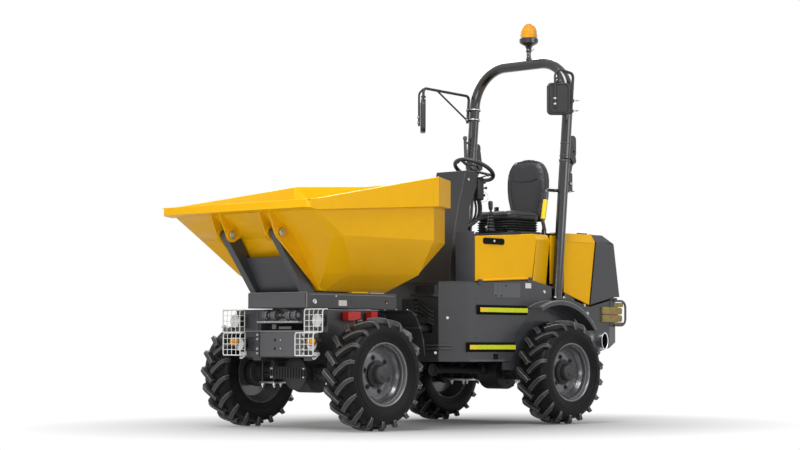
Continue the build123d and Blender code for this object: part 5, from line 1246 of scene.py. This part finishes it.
bm = bmesh.new()
makeBackShape(bm, 0.052, frontY + 0.002, frontY + 0.06, 0.012, 0.06, 0.006)
panel = finishPiece("seatBackPanel", bm, "blackVinyl", "rear_chassis", smooth=80)

bm = bmesh.new()
# piping round the back, the seam across its panel and the piping of the cushion
for steps, start, cut, ahead, inset, y, crown, thick in (
    (24, 0.02, 0.045, 0.0, 0.012, 0.026, 0.016, 0.0032),
    (18, 0.03, 0.11, 0.03, 0.058, 0.01, 0.07, 0.0024),
):
    heights = [lowZ + start + (highZ - lowZ - cut) * number / steps for number in range(steps + 1)]
    outline = [(backHalf(min(z + ahead, highZ)) - inset, z) for z in heights]
    outline = [(-x, z) for x, z in outline] + [(0, highZ - crown)] + outline[::-1]
    addPipe(bm, [(x, frontY + y, z) for x, z in outline], thick, 0.02, 2)
seam = [(-0.125, 0.0015, 1.902), (-0.06, 0.001, 1.884), (0.06, 0.001, 1.884), (0.125, 0.0015, 1.902)]
addPipe(bm, [(x, frontY + y, z) for x, y, z in seam], 0.0024, 0.05, 2)
halfC, frontC, rearC, lowC, _ = seat["cushion"]
middle = (frontC + rearC) / 2
ring = [(x * 0.972, middle + y * 0.972, lowC + 0.046) for x,
        y in superOval(halfC - 0.002, (rearC - frontC) / 2 - 0.002, 4.2, 36)]
addPipe(bm, ring + [ring[0]], 0.003, 0.02, 2)
finishPiece("seatPiping", bm, "blackVinyl", "rear_chassis", smooth=60)

# pleated rubber skirt on the suspension frame under the cushion
bm = bmesh.new()
lowB, highB = seat["base"]
rings = []
pleats = 5
for number in range(pleats * 2 + 1):
    share = number / (pleats * 2)
    wide, deep = (0.2045, 0.1815) if number % 2 else (0.19, 0.168)
    z = lowB + 0.0005 + (highB - lowB - 0.001) * share
    rings.append([Vector((x, 0.9475 + y, z)) for x, y in superOval(wide, deep, 5.0, 48)])
loftRings(bm, rings)
finishPiece("seatSkirt", bm, "blackRubber", "rear_chassis", ("seat_base",), smooth=50)

bm = bmesh.new()
addPlate(bm, (-0.06, 0.752, 1.5), (0.01, 0.772, 1.52), 0.008, slot=1, axis=1)
addPipe(bm, [(0.12, 0.79, 1.507), (0.12, 0.748, 1.507), (0.16, 0.748, 1.507)], 0.006, 0.01, 2)
for side in (-1, 1):  # slides under the seat and belt stalks beside it
    addBox(bm, (side * 0.15, 0.775, 1.4605), (side * 0.185, 1.128, 1.476))
    addPipe(bm, [(side * 0.208, 1.12, 1.47), (side * 0.236, 1.11, 1.56), (side * 0.236, 1.09, 1.64)], 0.0065,
            0.03, 2)
    addPlate(bm, (side * 0.236 - 0.01, 1.07, 1.63), (side * 0.236 + 0.01, 1.105, 1.69), 0.006)
finishPiece("seatFittings", bm, ["glossBlack", "zincSteel"], "rear_chassis", bevel=0.001)

# lime grips on the grab rails
bm = bmesh.new()
for side in (-1, 1):
    foot, head = Vector((side * 0.4, 0.9038, 1.56)), Vector((side * 0.4, 0.933, 1.71))
    run = (head - foot).normalized()
    addCylinder(bm, foot, head, 0.0185, sides=28)
    for number in range(9):
        at = foot + (head - foot) * (number + 0.5) / 9
        addCylinder(bm, at - run * 0.003, at + run * 0.003, 0.0198, sides=28)
finishPiece("railGrips", bm, "limeYellow", "rear_chassis", bevel=0.001)

# steering wheel
hubAt, tilt = Vector((0, 0.555, 1.94)), radians(28)
wheelAxis = Vector((0, sin(tilt), cos(tilt)))
bm = bmesh.new()
ringRadius, gripRadius = 0.1545, 0.0155
turns = [2 * pi * n / 16 for n in range(16)]
addSpin(bm, [(gripRadius * sin(a), ringRadius + gripRadius * cos(a)) for a in turns], hubAt, wheelAxis,
        steps=72)
frameUp = (Vector((0, 0, 1)) - wheelAxis * wheelAxis.z).normalized()
frameRight = wheelAxis.cross(frameUp).normalized()


def onWheel(angle):
    # direction in the wheel's own plane
    return frameRight * cos(angle) + frameUp * sin(angle)


for number in range(24):  # finger bumps under the ring
    centre = hubAt + onWheel(2 * pi * number / 24) * ringRadius - wheelAxis * 0.0095
    made = bmesh.ops.create_icosphere(bm, subdivisions=1, radius=0.0085)["verts"]
    bmesh.ops.translate(bm, vec=centre, verts=made)
for angle in (radians(90), radians(210), radians(330)):
    way = onWheel(angle)
    side = wheelAxis.cross(way).normalized()
    verts = addBox(bm, (0.03, -0.014, -0.0045), (0.15, 0.014, 0.0045))
    turn = Matrix((way, side, wheelAxis)).transposed()
    bmesh.ops.rotate(bm, cent=(0, 0, 0), matrix=turn, verts=verts)
    bmesh.ops.translate(bm, vec=hubAt - wheelAxis * 0.01, verts=verts)
addSpin(bm, [(-0.03, 0.0), (-0.03, 0.024), (-0.012, 0.036), (0.002, 0.038), (0.008, 0.034), (0.011, 0.02),
             (0.012, 0.0)], hubAt, wheelAxis, steps=40)
knob = hubAt + onWheel(radians(150)) * 0.15
addSpin(bm, [(0.01, 0.0), (0.01, 0.006), (0.024, 0.006), (0.028, 0.014), (0.04, 0.019), (0.052, 0.017),
             (0.058, 0.008), (0.059, 0.0)], knob, wheelAxis, steps=28)
finishPiece("steeringWheel", bm, "blackPlastic", "steering_wheel", ("steering_wheel",), smooth=45)

# column stalks, travel lever and dash
bm = bmesh.new()
addSpin(bm, [(-0.165, 0.0), (-0.165, 0.04), (-0.15, 0.045), (-0.075, 0.045), (-0.062, 0.03), (-0.036, 0.026),
             (-0.036, 0.0)], hubAt, wheelAxis, steps=36)
for side, up in ((1, 0.02), (-1, 0.03)):
    root = hubAt - wheelAxis * 0.095 + Vector((side * 0.035, 0, 0))
    tipAt = root + Vector((side * 0.13, 0.02, up + 0.012))
    addPipe(bm, [root, root + Vector((side * 0.07, 0.01, up)), tipAt], 0.0055, 0.03, 2)
    made = bmesh.ops.create_icosphere(bm, subdivisions=2, radius=0.0105)["verts"]
    bmesh.ops.translate(bm, vec=tipAt, verts=made)
verts = addBox(bm, (-0.042, 0.548, 1.705), (0.048, 0.622, 1.885))
bmesh.ops.bevel(bm, geom=edgesAt(verts), offset=0.014, segments=3, profile=0.5, affect="EDGES", material=-1)
for z, reach in ((1.742, 0.03), (1.8, 0.052), (1.842, 0.036)):
    knobAt = (0.02, 0.615 + reach, z + 0.006)
    addCylinder(bm, (0.02, 0.615, z), knobAt, 0.009, 0.0065, sides=20, slot=1)
    addCylinder(bm, knobAt, (0.02, 0.622 + reach, z + 0.0065), 0.0115, sides=20, slot=1)
for x, z in ((-0.01, 1.77), (0.03, 1.77), (0.01, 1.856)):
    addCylinder(bm, (x, 0.618, z), (x, 0.6285, z), 0.0075, sides=18, slot=2)
for x in (-0.02, 0.01, 0.032):  # hoses and loom from the valve under the wheel
    addPipe(bm, [(x, 0.585, 1.712), (x + 0.004, 0.6, 1.64), (x + 0.02, 0.56, 1.56), (x + 0.01, 0.47, 1.5),
                 (x, 0.38, 1.48)], 0.0095, 0.05, 3)
addPipe(bm, [(0.04, 0.61, 1.78), (0.05, 0.668, 1.75), (0.046, 0.655, 1.7), (0.04, 0.6, 1.69)], 0.0016, 0.03, 2,
        slot=3)
addBox(bm, (-0.052, 0.4225, 1.7005), (0.052, 0.489, 1.819))
for x in (-0.03, 0.0, 0.03):
    addPlate(bm, (x - 0.01, 0.489, 1.735), (x + 0.01, 0.4935, 1.765), 0.004, slot=1, axis=1)
finishPiece("columnControls", bm, ["blackPlastic", "glossBlack", "zincSteel", "labelAndHighlightWhite"], "rear_chassis",
            bevel=0.0015)

bm = bmesh.new()
# control lever with its boot beside the seat, pedals on the floor, gauge pod on the console
leverAt = Vector((0.115, 0.62, 1.466))
pleats = [(0.01 + 0.012 * n, 0.036 - 0.0016 * n - (0.007 if n % 2 else 0.0)) for n in range(12)]
boot = [(0.0, 0.0), (0.0, 0.036)] + pleats + [(0.15, 0.012), (0.15, 0.0)]
addSpin(bm, boot, leverAt, (0, 0, 1), steps=28)
top = leverAt + Vector((0, 0, 0.15))
addSpin(bm, [(0.0, 0.008), (0.012, 0.009), (0.02, 0.016), (0.06, 0.019), (0.08, 0.016), (0.086, 0.0)], top,
        (0, -0.08, 1), steps=24)
for x, wide in ((-0.13, 0.045), (0.1, 0.05)):
    addPlate(bm, (x - wide, 0.235, 1.13), (x + wide, 0.247, 1.215), 0.01, axis=1)
    addPipe(bm, [(x, 0.24, 1.14), (x, 0.24, 1.08), (x, 0.2, 1.062)], 0.009, 0.02, 2)
addPlate(bm, (-0.12, 0.4205, 1.828), (0.12, 0.4265, 1.898), 0.012, axis=1)
for x in (-0.075, 0.0, 0.075):
    addSpin(bm, [(0.0, 0.026), (0.006, 0.027), (0.007, 0.023), (0.004, 0.022), (0.004, 0.0), (0.0, 0.0)],
            (x, 0.426, 1.863), (0, 1, 0), steps=32, slot=1)
    addCylinder(bm, (x, 0.4297, 1.863), (x, 0.4308, 1.863), 0.0215, sides=32, slot=2)
    addBox(bm, (x - 0.0012, 0.4308, 1.86), (x + 0.0012, 0.4315, 1.88), slot=3)
finishPiece("cabControls", bm, ["blackPlastic", "glossBlack", "labelAndHighlightWhite", "redPaint"], "rear_chassis",
            bevel=0.0008)

bm = bmesh.new()
for side in (-1, 1):
    addBolt(bm, (side * 0.153, 0.32, 1.845), (side, 0, 0), 0.008, 0.006)
    addBolt(bm, (side * 0.272, 0.08, 1.15), (side, -0.1, 0.25), 0.008, 0.008)
finishPiece("consoleBolts", bm, ["zincSteel"], "rear_chassis")
print("seat and controls made")


# roll bar, mirrors, beacon
postX, postLean = 0.485, 0.09277
postAxis = (0, postLean, 1)


def postY(z):
    return 0.961 + (z - 0.938) * postLean


def postAt(z, side):
    return Vector((side * postX, postY(z), z))


bm = bmesh.new()
for side in (-1, 1):
    foot = postAt(0.94, side)
    feet = [(foot.x + x * side, foot.y + y, 0.9545) for y in (-0.052, 0.052) for x in (-0.04, 0.03)]
    addBolts(bm, feet, (0, 0, 1), 0.009, 0.01, slot=1)
    addSpin(bm, [(0, 0.0395), (0.0, 0.047), (0.004, 0.046), (0.008, 0.04)], postAt(0.954, side), postAxis,
            steps=40)
    collar = [(-0.012, 0.0396), (-0.012, 0.0445), (0.006, 0.0445), (0.006, 0.0396)]
    addSpin(bm, collar, postAt(2.018, side), postAxis, steps=40)
finishPiece("postFittings", bm, ["blackPaint", "zincSteel"], "rear_chassis", bevel=0.0008)

bm = bmesh.new()
for side in (-1, 1):
    for z in (2.055, 2.15):
        addSpin(bm, band(0.003, 0.0398, 0.003, 0.0425), postAt(z, side), postAxis, steps=40)
finishPiece("hoopCollars", bm, ["blackPaint"], "roll_bar", bevel=0.0006)

# rotating beacon: black foot, stepped base, ribbed amber dome
low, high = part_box("beacon")
at = ((low.x + high.x) / 2, (low.y + high.y) / 2, 0)
bm = bmesh.new()
z0 = low.z
base = [(-0.002, 0), (-0.002, 0.0225), (0.012, 0.0235), (0.016, 0.018), (0.06, 0.017), (0.066, 0.0235),
        (0.082, 0.0235), (0.088, 0.02), (0.11, 0.03), (0.126, 0.062), (0.134, 0.0715), (0.168, 0.0738),
        (0.172, 0.07), (0.172, 0)]
addSpin(bm, [(z0 + up, radius) for up, radius in base], at, (0, 0, 1), steps=56, slot=1)
for number in range(18):
    turn = Matrix.Rotation(number * 2 * pi / 18, 3, "Z")
    verts = addBox(bm, (0.07, -0.0035, z0 + 0.14), (0.0739, 0.0035, z0 + 0.164), slot=1)
    bmesh.ops.rotate(bm, cent=(0, 0, 0), matrix=turn, verts=verts)
    bmesh.ops.translate(bm, vec=(at[0], at[1], 0), verts=verts)
for number in range(5):
    z = z0 + 0.02 + number * 0.008
    addSpin(bm, [(z, 0.017), (z + 0.002, 0.02), (z + 0.004, 0.017)], at, (0, 0, 1), steps=28, slot=2)
addPipe(bm, [(at[0] + 0.018, at[1], z0 + 0.074), (at[0] + 0.046, at[1], z0 + 0.074),
             (at[0] + 0.052, at[1], z0 + 0.09)], 0.0045, 0.01, 2, slot=2)
d0 = z0 + 0.172
shape = [(0.0, 0.067), (0.01, 0.0668), (0.022, 0.0664), (0.034, 0.0658), (0.046, 0.065), (0.058, 0.0636),
         (0.07, 0.0606), (0.08, 0.056), (0.09, 0.0485), (0.1, 0.037), (0.108, 0.0225)]
dome = [(d0, 0.0)]
for up, radius in shape:  # moulded ribs round the dome
    dome += [(d0 + up, radius), (d0 + up + 0.003, radius + 0.0018), (d0 + up + 0.0055, radius - 0.001)]
dome.append((high.z - 0.0005, 0.0))
addSpin(bm, dome, at, (0, 0, 1), steps=64)
finishPiece("beaconLamp", bm, ["amberPlastic", "glossBlack", "zincSteel"], "roll_bar", ("beacon",), smooth=40)
print("roll bar and beacon made")


def roundedRing(halfX, halfY, corner, count=6):
    ring = []
    for quarter, (cx, cy) in enumerate(((1, 1), (-1, 1), (-1, -1), (1, -1))):
        for number in range(count + 1):
            angle = radians(90) * (quarter + number / count)
            ring.append((cx * (halfX - corner) + corner * cos(angle),
                         cy * (halfY - corner) + corner * sin(angle)))
    return ring


mirrors = {
    "left_mirror": {"name": "leftMirror", "side": 1, "low": 2.38, "high": 2.69, "reach": 0.2, "centre": 2.48},
    "right_mirror": {"name": "rightMirror", "side": -1, "low": 2.38, "high": 2.6, "reach": 0.56,
                     "centre": 2.39},
}
# depth along the view, share of the full size
mirrorHead = [(-0.015, 0.965), (-0.0158, 0.985), (-0.012, 1.0), (0.006, 1.0), (0.015, 0.985), (0.0205, 0.945),
              (0.0225, 0.9), (0.0225, 0.84), (0.018, 0.825), (0.018, 0.78), (0.023, 0.765), (0.0236, 0.5)]
for node, mirror in mirrors.items():
    side, low, high, centre = (mirror[key] for key in ("side", "low", "high", "centre"))
    clampX = side * 0.538
    front = postY(high) - mirror["reach"]
    bm = bmesh.new()
    arm = [(clampX, postY(low) - 0.02, low), (clampX, postY(high) - 0.02, high), (clampX, front, high + 0.02),
           (clampX, front, centre + 0.11)]
    addPipe(bm, arm, 0.0112, 0.035, 4)
    stem = Vector((clampX, front, 0)) + Vector((side * 0.707, -0.707, 0)) * 0.034 - Vector((0.707, side * 0.707,
            0)) * 0.03
    addPipe(bm, [(clampX, front, high + 0.012), (stem.x, stem.y, high - 0.02), (stem.x, stem.y, centre - 0.07)],
            0.0085, 0.02, 3)
    addBolts(bm, [(stem.x, stem.y, centre - drop) for drop in (0.0, 0.042)], (side * 0.707, -0.707, 0), 0.0085,
             0.016, slot=2)
    # head: a rounded shell with a stepped recess in its back and glass set in its rim
    across = Vector((cos(radians(45)), side * sin(radians(45)), 0))
    normal = Vector((side * sin(radians(45)), -cos(radians(45)), 0))
    origin = Vector((clampX, front, centre))
    last, first = None, None
    for along, shrink in mirrorHead:
        inset = 0.09 * (1 - shrink)
        ring = roundedRing(0.0895 - inset, 0.1245 - inset, 0.035 * max(shrink, 0.4))
        edges = ringEdges(bm, [origin + across * x + Vector((0, 0, y)) + normal * along for x, y in ring])
        if last:
            bmesh.ops.bridge_loops(bm, edges=last + edges)
        first = first or edges
        last = edges
    bmesh.ops.edgeloop_fill(bm, edges=last)
    bmesh.ops.edgeloop_fill(bm, edges=first, mat_nr=1)
    bmesh.ops.recalc_face_normals(bm, faces=bm.faces)
    # ball joint and its clamp on the arm
    for z in (centre + 0.132, centre + 0.16):
        addCylinder(bm, (clampX, front, z - 0.007), (clampX, front, z + 0.007), 0.0195, sides=24)
    addBolt(bm, (clampX, front - 0.019, centre + 0.146), (0, -1, 0), 0.006, 0.008, slot=2)
    # two saddles with bright U-bolts and knobs on the post
    for z in (low + 0.024, low + 0.104):
        post = postAt(z, side)
        addSpin(bm, band(0.009, 0.0403, 0.009, 0.0465), post, postAxis, steps=40)
        addSpin(bm, band(0.0045, 0.0464, 0.003, 0.05), post, postAxis, steps=40, slot=2)
        addBox(bm, (side * 0.522, post.y - 0.038, z - 0.009), (side * 0.5445, post.y + 0.002, z + 0.009))
        knob = [(0.0, 0.0), (0.0, 0.008), (0.006, 0.016), (0.013, 0.016), (0.016, 0.01), (0.016, 0.0)]
        addSpin(bm, knob, (side * 0.512, post.y - 0.04, z), (0, -1, 0), steps=18)
        addBolt(bm, (side * 0.512, post.y - 0.055, z), (0, -1, 0), 0.0055, 0.008, slot=2)
        # threaded end of the U-bolt with its nut
        addCylinder(bm, (side * 0.52, post.y + 0.028, z), (side * 0.575, post.y + 0.028, z), 0.0032, sides=12,
                    slot=2)
        addBolt(bm, (side * 0.548, post.y + 0.028, z), (side, 0, 0), 0.0065, 0.009, slot=2)
    # brace from the clamp up to the arm's far end
    if mirror["reach"] > 0.4:
        foot = (clampX, postY(low + 0.02) - 0.02, low + 0.02)
        addPipe(bm, [foot, (clampX, front + 0.16, high + 0.012)], 0.0075, 0.02, 3)
    finishPiece(mirror["name"], bm, ["blackPlastic", "mirrorGlass", "zincSteel"], "roll_bar", (node,),
                bevel=0.0008, smooth=40)
print("mirrors made")

# hinge arms, pins and strut of the folding bar
bm = bmesh.new()
for side in (-1, 1):
    at = postAt(2.12, side)
    addPlate(bm, (side * 0.49, at.y + 0.03, 2.046), (side * 0.502, at.y + 0.112, 2.215), 0.03)
    addCylinder(bm, (side * 0.502, at.y + 0.076, 2.09), (side * 0.508, at.y + 0.076, 2.09), 0.01, sides=24)
finishPiece("foldArms", bm, ["blackPaint", "zincSteel"], "roll_bar", bevel=0.0012)

bm = bmesh.new()
for side in (-1, 1):
    at = postAt(1.84, side)
    addPlate(bm, (side * 0.49, at.y + 0.03, 1.775), (side * 0.502, at.y + 0.092, 1.925), 0.016)
    addCylinder(bm, (side * 0.502, at.y + 0.062, 1.84), (side * 0.509, at.y + 0.062, 1.84), 0.015, sides=24)
    addBolt(bm, (side * 0.509, at.y + 0.062, 1.84), (side, 0, 0), 0.008, 0.007, slot=1)
    addPipe(bm, [(side * 0.498, at.y + 0.084, 1.92), (side * 0.498, at.y + 0.104, 1.985)], 0.006, 0.01, 3,
            slot=1)
    addCylinder(bm, (side * 0.48, at.y + 0.092, 1.782), (side * 0.52, at.y + 0.092, 1.782), 0.005, sides=12,
                slot=1)
    addCylinder(bm, (side * 0.496, at.y + 0.06, 1.771), (side * 0.496, at.y + 0.06, 1.776), 0.02, sides=20,
                slot=1)
finishPiece("foldBrackets", bm, ["blackPaint", "zincSteel"], "rear_chassis", bevel=0.0012)

bm = bmesh.new()
rod = postAt(2.16, -1) + Vector((0, -0.082, 0))
addCylinder(bm, rod + Vector((0, 0.004, -0.085)), rod + Vector((0, -0.004, 0.085)), 0.0125, sides=24)
addSpin(bm, [(-0.01, 0.0), (-0.01, 0.017), (0.01, 0.017), (0.018, 0.012), (0.018, 0.0)],
        rod + Vector((0, -0.004, 0.088)), (0, 0, 1), steps=24)
for z in (2.205, 2.085):
    addBox(bm, (-0.497, rod.y, z), (-0.473, rod.y + 0.046, z + 0.016))
finishPiece("foldStrut", bm, "blackPaint", "roll_bar", bevel=0.0012)
print("fold fittings made")


# floor and light
studio = {"lamp": 0.62, "key": 1150, "fill": 360, "rim": 380, "front": 300, "world": 0.26, "haze": 0.04}
floorMesh = bmesh.new()
bmesh.ops.create_grid(floorMesh, x_segments=1, y_segments=1, size=40)
mesh = bpy.data.meshes.new("floor")
floorMesh.to_mesh(mesh)
floorMesh.free()
floor = bpy.data.objects.new("floor", mesh)
bpy.context.collection.objects.link(floor)
floorMaterial, tree, shader = newMaterial("paleFloor")
shader.inputs["Roughness"].default_value = 0.9
# away from the machine the floor turns as white as the backdrop; near it the floor keeps its shadow and is
# painted a darker grey, a painted soft shade that fades out over the oval
place = addNode(tree, "TexCoord").outputs["Object"]
oval = addNode(tree, "VectorMath", {0: place}, operation="MULTIPLY")
oval.inputs[1].default_value = (0.62, 0.5, 1.0)
far = addNode(tree, "VectorMath", {0: oval.outputs[0]}, operation="LENGTH").outputs["Value"]
mask = addNode(tree, "MapRange", {"Value": far})
mask.inputs["From Min"].default_value = 0.5
mask.inputs["From Max"].default_value = 1.6
light = addNode(tree, "LightPath")
# the camera sees the floor a darker grey than the light it throws back up: painted shade round the machine
level = mathNode(tree, "MULTIPLY_ADD", light.outputs["Is Camera Ray"], -0.27, 0.52)
tree.links.new(level, shader.inputs["Base Color"])
seen = seenStraight(tree, light)
white = tree.nodes.new("ShaderNodeEmission")
white.inputs["Strength"].default_value = 1.0
glow = tree.nodes.new("ShaderNodeEmission")
tree.links.new(mathNode(tree, "MULTIPLY", light.outputs["Is Camera Ray"], studio["haze"]),
               glow.inputs["Strength"])
both = tree.nodes.new("ShaderNodeAddShader")
tree.links.new(shader.outputs[0], both.inputs[0])
tree.links.new(glow.outputs[0], both.inputs[1])
blendShader = tree.nodes.new("ShaderNodeMixShader")
tree.links.new(mathNode(tree, "MULTIPLY", mask.outputs["Result"], seen), blendShader.inputs["Fac"])
tree.links.new(both.outputs[0], blendShader.inputs[1])
tree.links.new(white.outputs[0], blendShader.inputs[2])
tree.links.new(blendShader.outputs[0], tree.nodes["Material Output"].inputs["Surface"])
mesh.materials.append(floorMaterial)

world = bpy.data.worlds.new("studio")
bpy.context.scene.world = world
world.use_nodes = True
tree = world.node_tree
light = addNode(tree, "LightPath")
seen = seenStraight(tree, light)
background = tree.nodes["Background"]
background.inputs["Color"].default_value = (1, 1, 1, 1)
tree.links.new(mathNode(tree, "MULTIPLY_ADD", seen, 1.0 - studio["world"], studio["world"]),
               background.inputs["Strength"])


def addLamp(name, place, aim, size, power):
    data = bpy.data.lights.new(name, "AREA")
    data.shape = "RECTANGLE"
    data.size, data.size_y = size
    data.energy = power * studio["lamp"]
    lamp = bpy.data.objects.new(name, data)
    bpy.context.collection.objects.link(lamp)
    turn = (Vector(aim) - Vector(place)).to_track_quat("-Z", "Y").to_matrix().to_4x4()
    lamp.matrix_world = Matrix.Translation(place) @ turn


addLamp("keyLamp", (1.5, -4.2, 7.2), (0, 0, 1.0), (4.0, 4.0), studio["key"])
addLamp("fillLamp", (7.5, 1.5, 4.0), (0, 0, 1.0), (5.0, 4.0), studio["fill"])
addLamp("frontLamp", (4.5, -8.5, 1.3), (0, 0, 0.9), (5.0, 2.2), studio["front"])
addLamp("rimLamp", (-5.0, 5.0, 5.5), (0, 0, 1.2), (5.0, 3.0), studio["rim"])
bpy.context.scene.view_settings.view_transform = "Standard"
